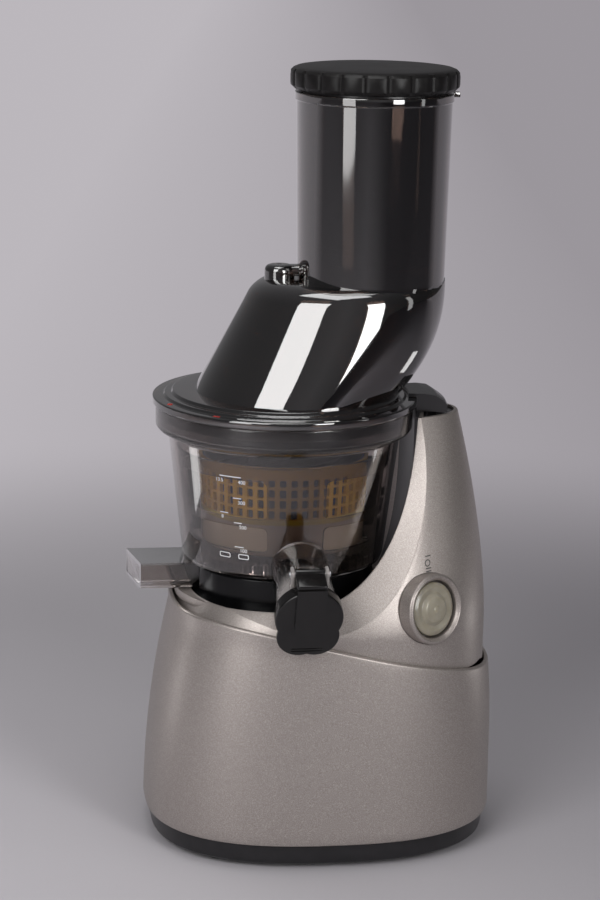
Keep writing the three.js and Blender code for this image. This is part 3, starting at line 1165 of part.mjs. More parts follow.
function bowl() {
  const outside = turned([[0, bowlBottom], [BOWL_FLOOR_RADIUS, bowlBottom],
    [BOWL_FOOT_RADIUS - 1.4, bowlBottom + 1.6], [BOWL_FOOT_RADIUS, bowlBottom + BOWL_EDGE_RISE],
    [BOWL_TOP_RADIUS, BOWL_SHOULDER_HEIGHT], [RIM_RADIUS - 1, RIM_BOTTOM],
    [RIM_RADIUS, RIM_BOTTOM + 1.6], [RIM_RADIUS, RIM_TOP], [0, RIM_TOP]], FINE_SIDES);
  const inside = bowlInside();
  const spout = placed(disc(SPOUT_RADIUS, -SPOUT_LENGTH, 0, MEDIUM_SIDES), spoutFrame);
  const spoutBore = placed(disc(SPOUT_RADIUS - CLEAR_WALL, -SPOUT_LENGTH + CLEAR_WALL, OVERRUN, MEDIUM_SIDES),
    spoutFrame);
  const earOut = CAP_STRAP_WIDTH / 2 + SEAT_GAP + CAP_EAR_THICKNESS;
  const earIn = CAP_STRAP_WIDTH / 2 + SEAT_GAP;
  const earBlock = (x0, x1) => box(x0, x1, SPOUT_RADIUS - 7, CAP_HINGE_RISE + CAP_KNUCKLE_RADIUS,
    -CAP_HINGE_BACK - CAP_KNUCKLE_RADIUS, -CAP_HINGE_BACK + CAP_KNUCKLE_RADIUS);
  const pinHole = disc(CAP_PIN_RADIUS + SEAT_GAP, -2 * earOut, 2 * earOut, TINY_SIDES)
    .rotate([0, 90, 0]).translate([0, CAP_HINGE_RISE, -CAP_HINGE_BACK]);
  const ears = placed(earBlock(-earOut, -earIn).add(earBlock(earIn, earOut)).subtract(pinHole), spoutFrame);
  const channel = channelBlock(0, CHANNEL_INNER_END).subtract(channelMouthCut());
  const channelHollow = channelBlock(CLEAR_WALL, CHANNEL_INNER_END + CLEAR_WALL)
    .subtract(outside.intersect(disc(BOWL_TOP_RADIUS, bowlBottom, RIM_TOP)));
  const pulpTube = disc(PULP_HOLE_RADIUS + PULP_TUBE_WALL, bowlBottom, STRAINER_BOTTOM - SEAT_GAP, SMALL_SIDES)
    .translate([PULP_HOLE_X, 0, 0]);
  const pulpHole = disc(PULP_HOLE_RADIUS, bowlBottom - CLEAR_WALL, STRAINER_BOTTOM, SMALL_SIDES)
    .translate([PULP_HOLE_X, 0, 0]);
  const axle = disc(AXLE_RADIUS, bowlBottom, bowlFloorTop + BOWL_GEAR_WIDTH + 2, TINY_SIDES)
    .translate([brushPinionX, 0, 0]);
  return unite(outside, spout, channel)
    .subtract(inside)
    .add(ears)
    .add(unite(pulpTube, axle, disc(HUB_RADIUS, bowlBottom, bowlBottom + HUB_HEIGHT + BOWL_FLOOR_THICKNESS, SMALL_SIDES)))
    .subtract(spoutBore).subtract(channelHollow).subtract(pulpHole)
    .subtract(disc(HUB_BORE, 0, 2 * RIM_TOP, SMALL_SIDES));
}

const brushPinionX = ((AUGER_TEETH + BRUSH_PINION_TEETH) * BOWL_MODULE) / 2;
add('bowl', SMOKE, bowl());

add('hub_seal', RUBBER, ring(SHAFT_RADIUS + 1.2, HUB_BORE - SEAT_GAP, bowlBottom, bowlBottom + 4, SMALL_SIDES));
add('pulp_packing', RUBBER, box(-1.2, 1.2, -PULP_HOLE_RADIUS, PULP_HOLE_RADIUS, 0, 8))
  .position.set(-CHANNEL_INNER_END - 2 * CLEAR_WALL - 1, 0, CHANNEL_BOTTOM + CLEAR_WALL + SEAT_GAP);

// Juice cap, its seal and its pin
function juiceCap() {
  const cup = turned([[0, SEAT_GAP], [SPOUT_RADIUS + 0.7, SEAT_GAP], [SPOUT_RADIUS + 0.7, -CAP_SKIRT_LENGTH],
    [CAP_RADIUS, -CAP_SKIRT_LENGTH], [CAP_RADIUS, CAP_FACE - 1.2], [CAP_RADIUS - 1.2, CAP_FACE + SEAT_GAP],
    [0, CAP_FACE + SEAT_GAP]], MEDIUM_SIDES);
  const half = CAP_STRAP_WIDTH / 2;
  const front = CAP_FACE + CAP_STRAP_THICKNESS;
  const tongue = box(-half, half, -4, CAP_HINGE_RISE, CAP_FACE - 1, front)
    .add(disc(half, CAP_FACE - 1, front, SMALL_SIDES).translate([0, -4, 0]));
  const bridge = box(-half, half, CAP_RADIUS - 2, CAP_HINGE_RISE + CAP_KNUCKLE_RADIUS - 1,
    -CAP_HINGE_BACK, front - 1);
  const knuckle = disc(CAP_KNUCKLE_RADIUS, -half, half, SMALL_SIDES).rotate([0, 90, 0])
    .translate([0, CAP_HINGE_RISE, -CAP_HINGE_BACK]);
  const lobe = (side) => disc(CAP_TAB_RADIUS, CAP_FACE - 2.6, CAP_FACE + SEAT_GAP, SMALL_SIDES)
    .translate([side * CAP_TAB_SPREAD / 2, -CAP_TAB_REACH - 2, 0]);
  const pinHole = disc(CAP_PIN_RADIUS + SEAT_GAP, -CAP_RADIUS, CAP_RADIUS, TINY_SIDES)
    .rotate([0, 90, 0]).translate([0, CAP_HINGE_RISE, -CAP_HINGE_BACK]);
  const spoutClear = disc(SPOUT_RADIUS + 0.7, -3 * CAP_HINGE_BACK, SEAT_GAP, MEDIUM_SIDES);
  return unite(cup, tongue, bridge.subtract(spoutClear), knuckle, lobe(-1), lobe(1)).subtract(pinHole);
}

add('juice_cap', BLACK, placed(juiceCap(), spoutFrame));
add('cap_seal', RUBBER, placed(ring(CAP_SEAL_RADIUS - CAP_SEAL_WALL, CAP_SEAL_RADIUS,
  -CAP_SEAL_DEPTH, 0, SMALL_SIDES), spoutFrame));
const pinHalf = CAP_STRAP_WIDTH / 2 + SEAT_GAP + CAP_EAR_THICKNESS + 0.8;
add('cap_hinge_pin', STEEL, placed(disc(CAP_PIN_RADIUS, -pinHalf, pinHalf, TINY_SIDES).rotate([0, 90, 0])
  .translate([0, CAP_HINGE_RISE, -CAP_HINGE_BACK]), spoutFrame));

// Brush frame: a ring gear under a cage with windows
const bowlGearBottom = bowlFloorTop + 1;
const bowlGearTop = bowlGearBottom + BOWL_GEAR_WIDTH;
const brushBottom = bowlFloorTop + RUN_GAP;

function brushRadius(height) {
  return lerp(BRUSH_RING_RADIUS, BRUSH_TOP_RADIUS, (height - brushBottom) / (BRUSH_TOP - brushBottom));
}

function internalGearCutter(teeth, size, phase, bottom, top) {
  const pitch = (teeth * size) / 2;
  const half = (Math.PI * size) / 4 + GEAR_BACKLASH / 2;
  const slope = Math.tan(THREE.MathUtils.degToRad(20));
  const shape = new THREE.Shape();
  for (let i = 0; i < teeth; i += 1) {
    const middle = phase + (2 * Math.PI * i) / teeth;
    [[pitch - 0.8 * size, -(half + 0.8 * size * slope)], [pitch + 1.05 * size, -(half - 1.05 * size * slope)],
      [pitch + 1.05 * size, half - 1.05 * size * slope], [pitch - 0.8 * size, half + 0.8 * size * slope]]
      .forEach(([radius, offset], corner) => {
        const angle = middle + offset / radius;
        const point = [radius * Math.cos(angle), radius * Math.sin(angle)];
        if (i === 0 && corner === 0) shape.moveTo(...point);
        else shape.lineTo(...point);
      });
  }
  shape.closePath();
  return extruded(shape, bottom, top);
}

const brushRingTeeth = AUGER_TEETH + 2 * BRUSH_PINION_TEETH;

function brushFrame() {
  const levels = [brushBottom, BRUSH_TOP];
  const outer = levels.map((z) => [brushRadius(z), z]);
  const inner = levels.map((z) => [brushRadius(z) - BRUSH_WALL, z]).reverse();
  let cage = turned([...outer, ...inner], FINE_SIDES)
    .add(ring((brushRingTeeth * BOWL_MODULE) / 2 - 2 * BOWL_MODULE, BRUSH_RING_RADIUS - SEAT_GAP, brushBottom,
      bowlGearTop, FINE_SIDES));
  const pinionTooth = (Math.PI + toothOf(BRUSH_PINION_TEETH) / 2) % toothOf(BRUSH_PINION_TEETH);
  const phase = (pinionTooth * BRUSH_PINION_TEETH) / brushRingTeeth;
  cage = cage.subtract(internalGearCutter(brushRingTeeth, BOWL_MODULE, phase, brushBottom - 1, bowlGearTop + 1));
  for (let i = 0; i < BRUSH_WINDOWS; i += 1) {
    const middle = (2 * Math.PI * (i + 0.5)) / BRUSH_WINDOWS;
    const half = Math.PI / BRUSH_WINDOWS - BRUSH_POST_HALF_ANGLE;
    const wedge = new THREE.Shape();
    wedge.moveTo(0, 0);
    wedge.lineTo(2 * BRUSH_TOP_RADIUS * Math.cos(middle - half), 2 * BRUSH_TOP_RADIUS * Math.sin(middle - half));
    wedge.lineTo(2 * BRUSH_TOP_RADIUS * Math.cos(middle + half), 2 * BRUSH_TOP_RADIUS * Math.sin(middle + half));
    wedge.closePath();
    cage = cage.subtract(extruded(wedge, BRUSH_WINDOW_BOTTOM, BRUSH_RING_HEIGHT - BRUSH_RING_BAND / 2))
      .subtract(extruded(wedge, BRUSH_RING_HEIGHT + BRUSH_RING_BAND / 2, BRUSH_WINDOW_TOP));
  }
  return cage;
}

add('brush_frame', DARK_GREY, brushFrame());

function strainerRadius(height) {
  return lerp(STRAINER_FOOT_RADIUS, STRAINER_TOP_RADIUS,
    (height - STRAINER_BOTTOM) / (STRAINER_TOP - STRAINER_BOTTOM));
}

function wiper() {
  const low = BRUSH_WINDOW_BOTTOM;
  const high = BRUSH_WINDOW_TOP;
  const inside = (z) => strainerRadius(z) + RUN_GAP;
  const outside = (z) => brushRadius(z) - BRUSH_WALL - SEAT_GAP;
  const shape = new THREE.Shape();
  shape.moveTo(inside(low), low);
  shape.lineTo(outside(low), low);
  shape.lineTo(outside(high), high);
  shape.lineTo(inside(high), high);
  shape.closePath();
  const geometry = new THREE.ExtrudeGeometry(shape, { depth: WIPER_THICKNESS, bevelEnabled: false });
  geometry.rotateX(Math.PI / 2);
  geometry.translate(0, WIPER_THICKNESS / 2, 0);
  return solid(geometry);
}

add('brush_wiper_right', RUBBER, wiper());
add('brush_wiper_left', RUBBER, wiper()).rotation.z = Math.PI;

function brushPinion() {
  const phase = Math.PI + toothOf(BRUSH_PINION_TEETH) / 2;
  return extruded(gearOutline(BRUSH_PINION_TEETH, BOWL_MODULE, phase, AXLE_RADIUS + SEAT_GAP),
    bowlGearBottom, bowlGearTop);
}

add('brush_pinion', NYLON, brushPinion()).position.set(brushPinionX, 0, 0);

// Strainer: amber cage with slots over a fine mesh
function strainerFrame() {
  const levels = [STRAINER_BOTTOM, STRAINER_TOP];
  const outer = levels.map((z) => [strainerRadius(z), z]);
  const innerRadius = (z) => strainerRadius(z) - STRAINER_WALL;
  let cage = turned([[AUGER_NECK_RADIUS + 1.5, STRAINER_BOTTOM], ...outer,
    [innerRadius(STRAINER_TOP), STRAINER_TOP],
    [innerRadius(STRAINER_BOTTOM + STRAINER_FLOOR), STRAINER_BOTTOM + STRAINER_FLOOR],
    [AUGER_NECK_RADIUS + 1.5, STRAINER_BOTTOM + STRAINER_FLOOR]], FINE_SIDES);
  const pitch = (2 * Math.PI) / STRAINER_SLOTS;
  for (let i = 0; i < STRAINER_SLOTS; i += 1) {
    const half = (pitch * STRAINER_SLOT_SHARE) / 2;
    const wedge = new THREE.Shape();
    const reach = 2 * STRAINER_TOP_RADIUS;
    wedge.moveTo(0, 0);
    wedge.lineTo(reach * Math.cos(i * pitch - half), reach * Math.sin(i * pitch - half));
    wedge.lineTo(reach * Math.cos(i * pitch + half), reach * Math.sin(i * pitch + half));
    wedge.closePath();
    cage = cage.subtract(extruded(wedge, STRAINER_SLOT_BOTTOM, STRAINER_SLOT_TOP));
  }
  return cage.subtract(disc(PULP_HOLE_RADIUS - 1, 0, STRAINER_BOTTOM + STRAINER_FLOOR + 1, SMALL_SIDES)
    .translate([PULP_HOLE_X, 0, 0]));
}

add('strainer_frame', AMBER, strainerFrame());

const meshBottom = STRAINER_BOTTOM + STRAINER_FLOOR + SEAT_GAP;
const meshOuter = (z) => strainerRadius(z) - STRAINER_WALL - SEAT_GAP;
add('strainer_mesh', STEEL, turned([
  [meshOuter(meshBottom) - MESH_WALL, meshBottom], [meshOuter(meshBottom), meshBottom],
  [meshOuter(STRAINER_TOP - 1), STRAINER_TOP - 1], [meshOuter(STRAINER_TOP - 1) - MESH_WALL, STRAINER_TOP - 1],
], FINE_SIDES));

// Auger: a tapered core with one helical flight, a gear at its foot and a pin at its top
function flight() {
  const steps = Math.round(FLIGHT_TURNS * FLIGHT_STEPS_A_TURN);
  const bottom = AUGER_FOOT_HEIGHT + 1;
  const top = AUGER_WAIST_HEIGHT + 4;
  const points = [];
  const triangles = [];
  for (let i = 0; i <= steps; i += 1) {
    const share = i / steps;
    const angle = 2 * Math.PI * FLIGHT_TURNS * share;
    const z = lerp(bottom, top - FLIGHT_THICKNESS, share ** 1.25);
    const limit = meshOuter(Math.min(z, STRAINER_TOP)) - MESH_WALL - RUN_GAP;
    const radius = Math.min(lerp(FLIGHT_RADIUS, FLIGHT_TOP_RADIUS, Math.max(0, (share - 0.6) / 0.4)), limit);
    const root = AUGER_WAIST_RADIUS / 2;
    [[root, z], [radius, z + 0.6], [radius, z + FLIGHT_THICKNESS - 0.6], [root, z + FLIGHT_THICKNESS]]
      .forEach(([r, h]) => points.push(new THREE.Vector3(r * Math.cos(angle), r * Math.sin(angle), h)));
    if (i === steps) continue;
    const a = i * 4;
    for (let k = 0; k < 4; k += 1) {
      const n = (k + 1) % 4;
      triangles.push(a + k, a + n, a + 4 + n, a + k, a + 4 + n, a + 4 + k);
    }
  }
  const end = steps * 4;
  triangles.push(0, 2, 1, 0, 3, 2, end, end + 1, end + 2, end, end + 2, end + 3);
  const geometry = new THREE.BufferGeometry().setFromPoints(points);
  geometry.setIndex(triangles);
  return solid(geometry);
}

function auger() {
  const core = turned([[0, bowlGearTop], [AUGER_NECK_RADIUS, bowlGearTop], [AUGER_NECK_RADIUS, AUGER_FOOT_HEIGHT],
    [AUGER_FOOT_RADIUS, AUGER_FOOT_HEIGHT], [AUGER_FOOT_RADIUS, AUGER_FOOT_HEIGHT + 5],
    [AUGER_FOOT_RADIUS - 4, AUGER_FOOT_HEIGHT + 16], [AUGER_WAIST_RADIUS + 5, AUGER_WAIST_HEIGHT - 14],
    [AUGER_WAIST_RADIUS, AUGER_WAIST_HEIGHT], [AUGER_WAIST_RADIUS - 7, AUGER_TOP], [AUGER_PIN_RADIUS, AUGER_TOP],
    [AUGER_PIN_RADIUS, AUGER_PIN_TOP], [0, AUGER_PIN_TOP]], MEDIUM_SIDES);
  const gear = extruded(gearOutline(AUGER_TEETH, BOWL_MODULE, 0, HUB_RADIUS + RUN_GAP), bowlGearBottom, bowlGearTop);
  const flange = disc((AUGER_TEETH * BOWL_MODULE) / 2 - 2 * BOWL_MODULE, bowlGearTop - 0.5,
    STRAINER_BOTTOM - 1, SMALL_SIDES);
  const hub = disc(HUB_RADIUS + RUN_GAP, 0, bowlBottom + HUB_HEIGHT + BOWL_FLOOR_THICKNESS + RUN_GAP, SMALL_SIDES);
  const socket = disc(BUSH_RADIUS + SEAT_GAP, 0, bushTop + SEAT_GAP, SMALL_SIDES);
  return unite(core, flight().subtract(disc(AUGER_NECK_RADIUS, 0, AUGER_FOOT_HEIGHT)), gear, flange)
    .subtract(hub).subtract(socket);
}

const bushBottom = bowlBottom + HUB_HEIGHT + BOWL_FLOOR_THICKNESS + RUN_GAP;
const bushTop = bushBottom + BUSH_HEIGHT + 4;
add('auger', DARK_GREY, auger());
const bushHole = turned([[0, 0], [SHAFT_RADIUS + RUN_GAP, 0], [SHAFT_RADIUS + RUN_GAP, SHAFT_TOP + 1],
  [0, SHAFT_TOP + 1]], 6);
add('auger_bush', STEEL, disc(BUSH_RADIUS, bushBottom, bushTop, SMALL_SIDES).subtract(bushHole));

// Lid with hopper and feed tube in one moulding
const lidBottom = RIM_TOP + SEAT_GAP;
const flangeTop = lidBottom + FLANGE_HEIGHT;
const lidFloorBottom = LID_DISC_TOP - 4;

function hopperSection(height, inset) {
  const rise = clamp((height - LID_DISC_TOP) / (HOPPER_TOP - LID_DISC_TOP), 0, 1);
  const swell = 1 - (1 - rise) ** 2.4;
  const shoulder = clamp((height - (HOPPER_TOP - HOPPER_ROUND)) / HOPPER_ROUND, 0, 1);
  const tuck = HOPPER_ROUND * (1 - Math.sqrt(1 - shoulder ** 2)) + inset;
  const left = lerp(HOPPER_FOOT_LEFT, HOPPER_TOP_LEFT, rise) + tuck;
  const right = lerp(HOPPER_FOOT_RIGHT, HOPPER_TOP_RIGHT, swell) - inset;
  const half = lerp(HOPPER_HALF_DEPTH, HOPPER_TOP_HALF_DEPTH, rise) - tuck;
  return ovalRing(left, right, half, 2.05, height, FINE_SIDES);
}

function tubeRadius(height) {
  return lerp(TUBE_FOOT_RADIUS, TUBE_TOP_RADIUS, (height - HOPPER_TOP) / (TUBE_TOP - HOPPER_TOP));
}

function lidHopper() {
  const shares = [0, 0.18, 0.45, 0.75];
  const levels = [...shares.map((s) => lerp(LID_DISC_TOP, HOPPER_TOP, s)),
    ...[0, 0.5, 0.85, 1].map((s) => HOPPER_TOP - HOPPER_ROUND + s * HOPPER_ROUND)]
    .sort((a, b) => a - b);
  const hopper = lofted(levels.map((z) => (z === LID_DISC_TOP
    ? hopperSection(z, 0).map((p) => p.setZ(LID_DISC_TOP - 1)) : hopperSection(z, 0))));
  const inside = lofted([...shares.map((s) => lerp(LID_DISC_TOP, HOPPER_TOP, s)),
    HOPPER_TOP - HOPPER_ROUND, HOPPER_TOP - HOPPER_ROUND / 2, HOPPER_TOP - CLEAR_WALL]
    .map((z) => (z === LID_DISC_TOP ? hopperSection(z, CLEAR_WALL).map((p) => p.setZ(LID_DISC_TOP + 0))
      : hopperSection(z, CLEAR_WALL))));
  const tube = turned([[0, HOPPER_TOP - HOPPER_ROUND], [TUBE_FOOT_RADIUS, HOPPER_TOP - HOPPER_ROUND],
    [tubeRadius(HOPPER_TOP), HOPPER_TOP], [tubeRadius(TUBE_TOP - TUBE_COLLAR_HEIGHT), TUBE_TOP - TUBE_COLLAR_HEIGHT],
    [TUBE_TOP_RADIUS + TUBE_COLLAR_RISE, TUBE_TOP - TUBE_COLLAR_HEIGHT + 0.6],
    [TUBE_TOP_RADIUS + TUBE_COLLAR_RISE, TUBE_TOP], [0, TUBE_TOP]], FINE_SIDES).translate([TUBE_X, 0, 0]);
  const tubeBore = turned([[0, HOPPER_TOP - HOPPER_ROUND], [TUBE_FOOT_RADIUS - CLEAR_WALL, HOPPER_TOP - HOPPER_ROUND],
    [TUBE_TOP_RADIUS - CLEAR_WALL, TUBE_TOP + 1], [0, TUBE_TOP + 1]], FINE_SIDES).translate([TUBE_X, 0, 0]);
  const tab = box(TUBE_X + TUBE_TOP_RADIUS - 1, TUBE_X + TUBE_TOP_RADIUS + TUBE_TAB_REACH, -TUBE_TAB_WIDTH / 2,
    TUBE_TAB_WIDTH / 2, TUBE_TOP - TUBE_TAB_HEIGHT, TUBE_TOP);
  const skirtBottom = RIM_TOP - LID_SKIRT_DEPTH;
  const lid = turned([[LID_SKIRT_RADIUS - CLEAR_WALL, skirtBottom], [LID_SKIRT_RADIUS, skirtBottom],
    [LID_SKIRT_RADIUS, lidBottom], [FLANGE_RADIUS - 0.8, lidBottom], [FLANGE_RADIUS, lidBottom + 0.8],
    [FLANGE_RADIUS, flangeTop - 1], [FLANGE_RADIUS - 1.2, flangeTop],
    [LID_STEP_RADIUS + 1, flangeTop], [LID_STEP_RADIUS, LID_STEP_TOP], [LID_DISC_RADIUS + 1, LID_STEP_TOP],
    [LID_DISC_RADIUS, LID_DISC_TOP], [0, LID_DISC_TOP], [0, lidFloorBottom],
    [LID_SKIRT_RADIUS - CLEAR_WALL, lidFloorBottom - 2]], FINE_SIDES);
  const hub = disc(LID_HUB_RADIUS, lidFloorBottom - LID_HUB_DEPTH, lidFloorBottom + 1, SMALL_SIDES);
  const hubBore = disc(LID_HUB_BORE, 0, LID_DISC_TOP - 2, SMALL_SIDES);
  const feed = disc(FEED_RADIUS, 0, LID_DISC_TOP + 0.5, FINE_SIDES)
    .intersect(box(FEED_EDGE, 2 * FEED_RADIUS, -FEED_RADIUS, FEED_RADIUS, 0, 2 * LID_DISC_TOP));
  const bossTube = turned([[0, HOPPER_TOP - HOPPER_ROUND], [BOSS_TUBE_RADIUS, HOPPER_TOP - HOPPER_ROUND],
    [BOSS_TUBE_RADIUS, HOPPER_TOP + BOSS_TUBE_RISE - 2], [BOSS_TUBE_RADIUS - 2, HOPPER_TOP + BOSS_TUBE_RISE],
    [BOSS_TUBE_BORE, HOPPER_TOP + BOSS_TUBE_RISE], [BOSS_TUBE_BORE - 1, HOPPER_TOP + BOSS_TUBE_RISE - 4],
    [0, HOPPER_TOP + BOSS_TUBE_RISE - 4]], SMALL_SIDES)
    .translate([BOSS_TUBE_X, 0, 0]);
  return unite(lid, hub, hopper, tube, tab, bossTube.subtract(inside))
    .subtract(inside).subtract(tubeBore).subtract(feed).subtract(hubBore);
}

add('lid_hopper', SMOKE, lidHopper());

// Lug on the lid's edge, over the tower's top
function sector(inner, outer, halfAngle, bottom, top, steps = 6) {
  const shape = new THREE.Shape();
  const angles = Array.from({ length: steps + 1 }, (unused, i) => lerp(-halfAngle, halfAngle, i / steps));
  angles.forEach((a, i) => (i === 0 ? shape.moveTo(outer * Math.cos(a), outer * Math.sin(a))
    : shape.lineTo(outer * Math.cos(a), outer * Math.sin(a))));
  angles.reverse().forEach((a) => shape.lineTo(inner * Math.cos(a), inner * Math.sin(a)));
  shape.closePath();
  return extruded(shape, bottom, top);
}

function lidLug() {
  const outerStart = FLANGE_RADIUS + SEAT_GAP;
  const shell = sector(outerStart, LUG_REACH, LUG_HALF_ANGLE, LUG_BOTTOM, LUG_TOP);
  const round = turned([[0, LUG_BOTTOM - OVERRUN], [LUG_REACH + 1, LUG_BOTTOM - OVERRUN], [LUG_REACH + 1, LUG_BOTTOM + 2],
    [LUG_REACH - 1, LUG_BOTTOM + 5], [LUG_REACH - 6, LUG_TOP - 2.4], [LUG_REACH - 13, LUG_TOP], [0, LUG_TOP]], FINE_SIDES);
  const hook = sector(LUG_START, outerStart + 2, LUG_HALF_ANGLE, flangeTop + SEAT_GAP, LUG_TOP);
  const tongue = sector(TONGUE_INNER, TONGUE_OUTER, TONGUE_HALF_ANGLE, LUG_BOTTOM - TONGUE_DEPTH, LUG_BOTTOM + 1);
  return unite(shell, hook).intersect(round).add(tongue)
    .subtract(disc(MAGNET_RADIUS + SEAT_GAP, LUG_BOTTOM + 3, LUG_BOTTOM + 3 + MAGNET_HEIGHT + SEAT_GAP, TINY_SIDES)
      .translate([(TONGUE_INNER + TONGUE_OUTER) / 2, 0, 0]))
    .subtract(disc(1, LUG_BOTTOM - 2 * OVERRUN, LUG_BOTTOM + 4, TINY_SIDES)
      .translate([(TONGUE_INNER + TONGUE_OUTER) / 2, 0, 0]));
}

add('lid_lug', BLACK, lidLug());
add('lid_magnet', STEEL, disc(MAGNET_RADIUS, 0, MAGNET_HEIGHT - SEAT_GAP, TINY_SIDES))
  .position.set((TONGUE_INNER + TONGUE_OUTER) / 2, 0, LUG_BOTTOM + 3 + SEAT_GAP);
add('lid_gasket', RUBBER, ring(LID_SKIRT_RADIUS - CLEAR_WALL - 3, LID_SKIRT_RADIUS - CLEAR_WALL - SEAT_GAP,
  RIM_TOP - LID_SKIRT_DEPTH + 1, RIM_TOP - LID_SKIRT_DEPTH + 4, FINE_SIDES));
add('top_bush', NYLON, ring(AUGER_PIN_RADIUS + SEAT_GAP, LID_HUB_BORE - SEAT_GAP, lidFloorBottom - LID_HUB_DEPTH + 0.5,
  AUGER_PIN_TOP - 0.5, SMALL_SIDES));

// Pusher: hollow dark tumbler, its seal and its scalloped cap
function pusherOuter(height) {
  return tubeRadius(height) - CLEAR_WALL - PUSHER_GAP;
}

function pusherBody() {
  const top = CAP_BOTTOM + 4;
  return turned([[0, PUSHER_BOTTOM], [pusherOuter(PUSHER_BOTTOM) - 3, PUSHER_BOTTOM],
    [pusherOuter(PUSHER_BOTTOM), PUSHER_BOTTOM + 3], [pusherOuter(CAP_BOTTOM), CAP_BOTTOM - 1],
    [pusherOuter(CAP_BOTTOM), top], [pusherOuter(CAP_BOTTOM) - PUSHER_WALL, top],
    [pusherOuter(PUSHER_BOTTOM) - PUSHER_WALL - 1, PUSHER_BOTTOM + 3 + PUSHER_WALL],
    [0, PUSHER_BOTTOM + 3 + PUSHER_WALL]], FINE_SIDES);
}

const sealHeight = PUSHER_BOTTOM + 8;
const pusher = new THREE.Group();
pusher.position.set(TUBE_X, 0, 0);
group.add(pusher);
const sealGroove = ring(pusherOuter(sealHeight) - 1.2, 2 * TUBE_TOP_RADIUS, sealHeight, sealHeight + 3.4, FINE_SIDES);
add('pusher_body', DARK_GREY, pusherBody().subtract(sealGroove), pusher);
add('pusher_seal', RUBBER, ring(pusherOuter(sealHeight) - 1.2 + SEAT_GAP, pusherOuter(sealHeight) + PUSHER_GAP - SEAT_GAP,
  sealHeight + SEAT_GAP, sealHeight + 3.4 - SEAT_GAP, FINE_SIDES), pusher);

function pusherCap() {
  const lobes = new THREE.Shape();
  const steps = CAP_LOBES * 2;
  for (let i = 0; i < steps; i += 1) {
    const angle = (2 * Math.PI * i) / steps;
    const wave = Math.abs(Math.cos((CAP_LOBES * angle) / 2));
    const radius = CAP_GRIP_RADIUS - CAP_LOBE_DEPTH * (1 - wave ** 0.5);
    if (i === 0) lobes.moveTo(radius, 0);
    else lobes.lineTo(radius * Math.cos(angle), radius * Math.sin(angle));
  }
  lobes.closePath();
  const band = extruded(lobes, CAP_BOTTOM - 1, CAP_TOP);
  const round = turned([[0, CAP_BOTTOM], [TUBE_TOP_RADIUS + TUBE_COLLAR_RISE, CAP_BOTTOM],
    [CAP_GRIP_RADIUS + 0.6, CAP_BOTTOM + 4], [CAP_GRIP_RADIUS + 0.6, CAP_TOP - 3.4],
    [CAP_TOP_RADIUS, CAP_TOP - 1], [0, CAP_TOP]], FINE_SIDES);
  const socket = ring(pusherOuter(CAP_BOTTOM) - PUSHER_WALL - SEAT_GAP, pusherOuter(CAP_BOTTOM) + SEAT_GAP, 0,
    CAP_BOTTOM + 4 + SEAT_GAP, FINE_SIDES);
  const hollow = disc(pusherOuter(CAP_BOTTOM) - PUSHER_WALL - 2, 0, CAP_TOP - CAP_DOME - 3, FINE_SIDES);
  return band.intersect(round).subtract(socket).subtract(hollow);
}

add('pusher_cap', BLACK, pusherCap(), pusher);

// The origin goes to the centre of the bounding box's base
const bounds = new THREE.Box3().setFromObject(group);
const centre = bounds.getCenter(new THREE.Vector3());
group.position.set(-centre.x, -centre.y, -bounds.min.z);

export default group;
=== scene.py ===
import math

import bmesh
import bpy
from mathutils import Matrix, Vector
from mathutils.bvhtree import BVHTree


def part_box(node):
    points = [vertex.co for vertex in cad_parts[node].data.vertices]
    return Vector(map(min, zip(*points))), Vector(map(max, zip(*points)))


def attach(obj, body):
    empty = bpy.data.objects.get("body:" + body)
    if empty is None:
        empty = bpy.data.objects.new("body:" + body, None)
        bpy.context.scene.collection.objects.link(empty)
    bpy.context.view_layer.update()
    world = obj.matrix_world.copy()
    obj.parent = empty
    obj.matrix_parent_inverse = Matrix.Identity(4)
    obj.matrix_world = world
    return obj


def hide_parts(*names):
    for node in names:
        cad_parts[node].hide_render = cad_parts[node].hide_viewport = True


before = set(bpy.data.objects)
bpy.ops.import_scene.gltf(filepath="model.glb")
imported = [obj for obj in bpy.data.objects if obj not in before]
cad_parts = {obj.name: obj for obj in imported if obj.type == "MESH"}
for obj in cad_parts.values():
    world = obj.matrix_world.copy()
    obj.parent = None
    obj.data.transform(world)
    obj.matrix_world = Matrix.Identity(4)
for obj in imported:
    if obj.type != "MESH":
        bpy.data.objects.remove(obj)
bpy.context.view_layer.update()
SCENE = bpy.context.scene
COLLECTION = SCENE.collection

# All forms are written in millimetres round the bowl's axis and moved to the frame at the end.
MM = 0.001
low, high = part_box("auger_bush")
AXIS = ((low.x + high.x) / 2, (low.y + high.y) / 2)
TO_FRAME = Matrix.Translation((AXIS[0], AXIS[1], 0)) @ Matrix.Scale(MM, 4)
TAU = 2 * math.pi
rad = math.radians


def lerp(a, b, t):
    return a + (b - a) * t


def clamp(v, a=0.0, b=1.0):
    return max(a, min(b, v))


def polar(r, a, *z):
    return r * math.cos(a), r * math.sin(a), *z


def move(x, y, z=0):
    return Matrix.Translation((x, y, z))


def turn(degrees, axis):
    return Matrix.Rotation(rad(degrees), 4, axis)


def add(name, data):
    ob = bpy.data.objects.new(name, data)
    COLLECTION.objects.link(ob)
    return ob


# Camera, with its place in millimetres
CAMERA_BACK, CAMERA_ASIDE, CAMERA_HEIGHT = 1415, 9.5, 572
CAMERA_TURN, CAMERA_PITCH, CAMERA_ROLL = rad(-8), rad(13.7), rad(1.0)
FOCAL_PIXELS, FRAME_PIXELS, SENSOR = 2512, 900, 36


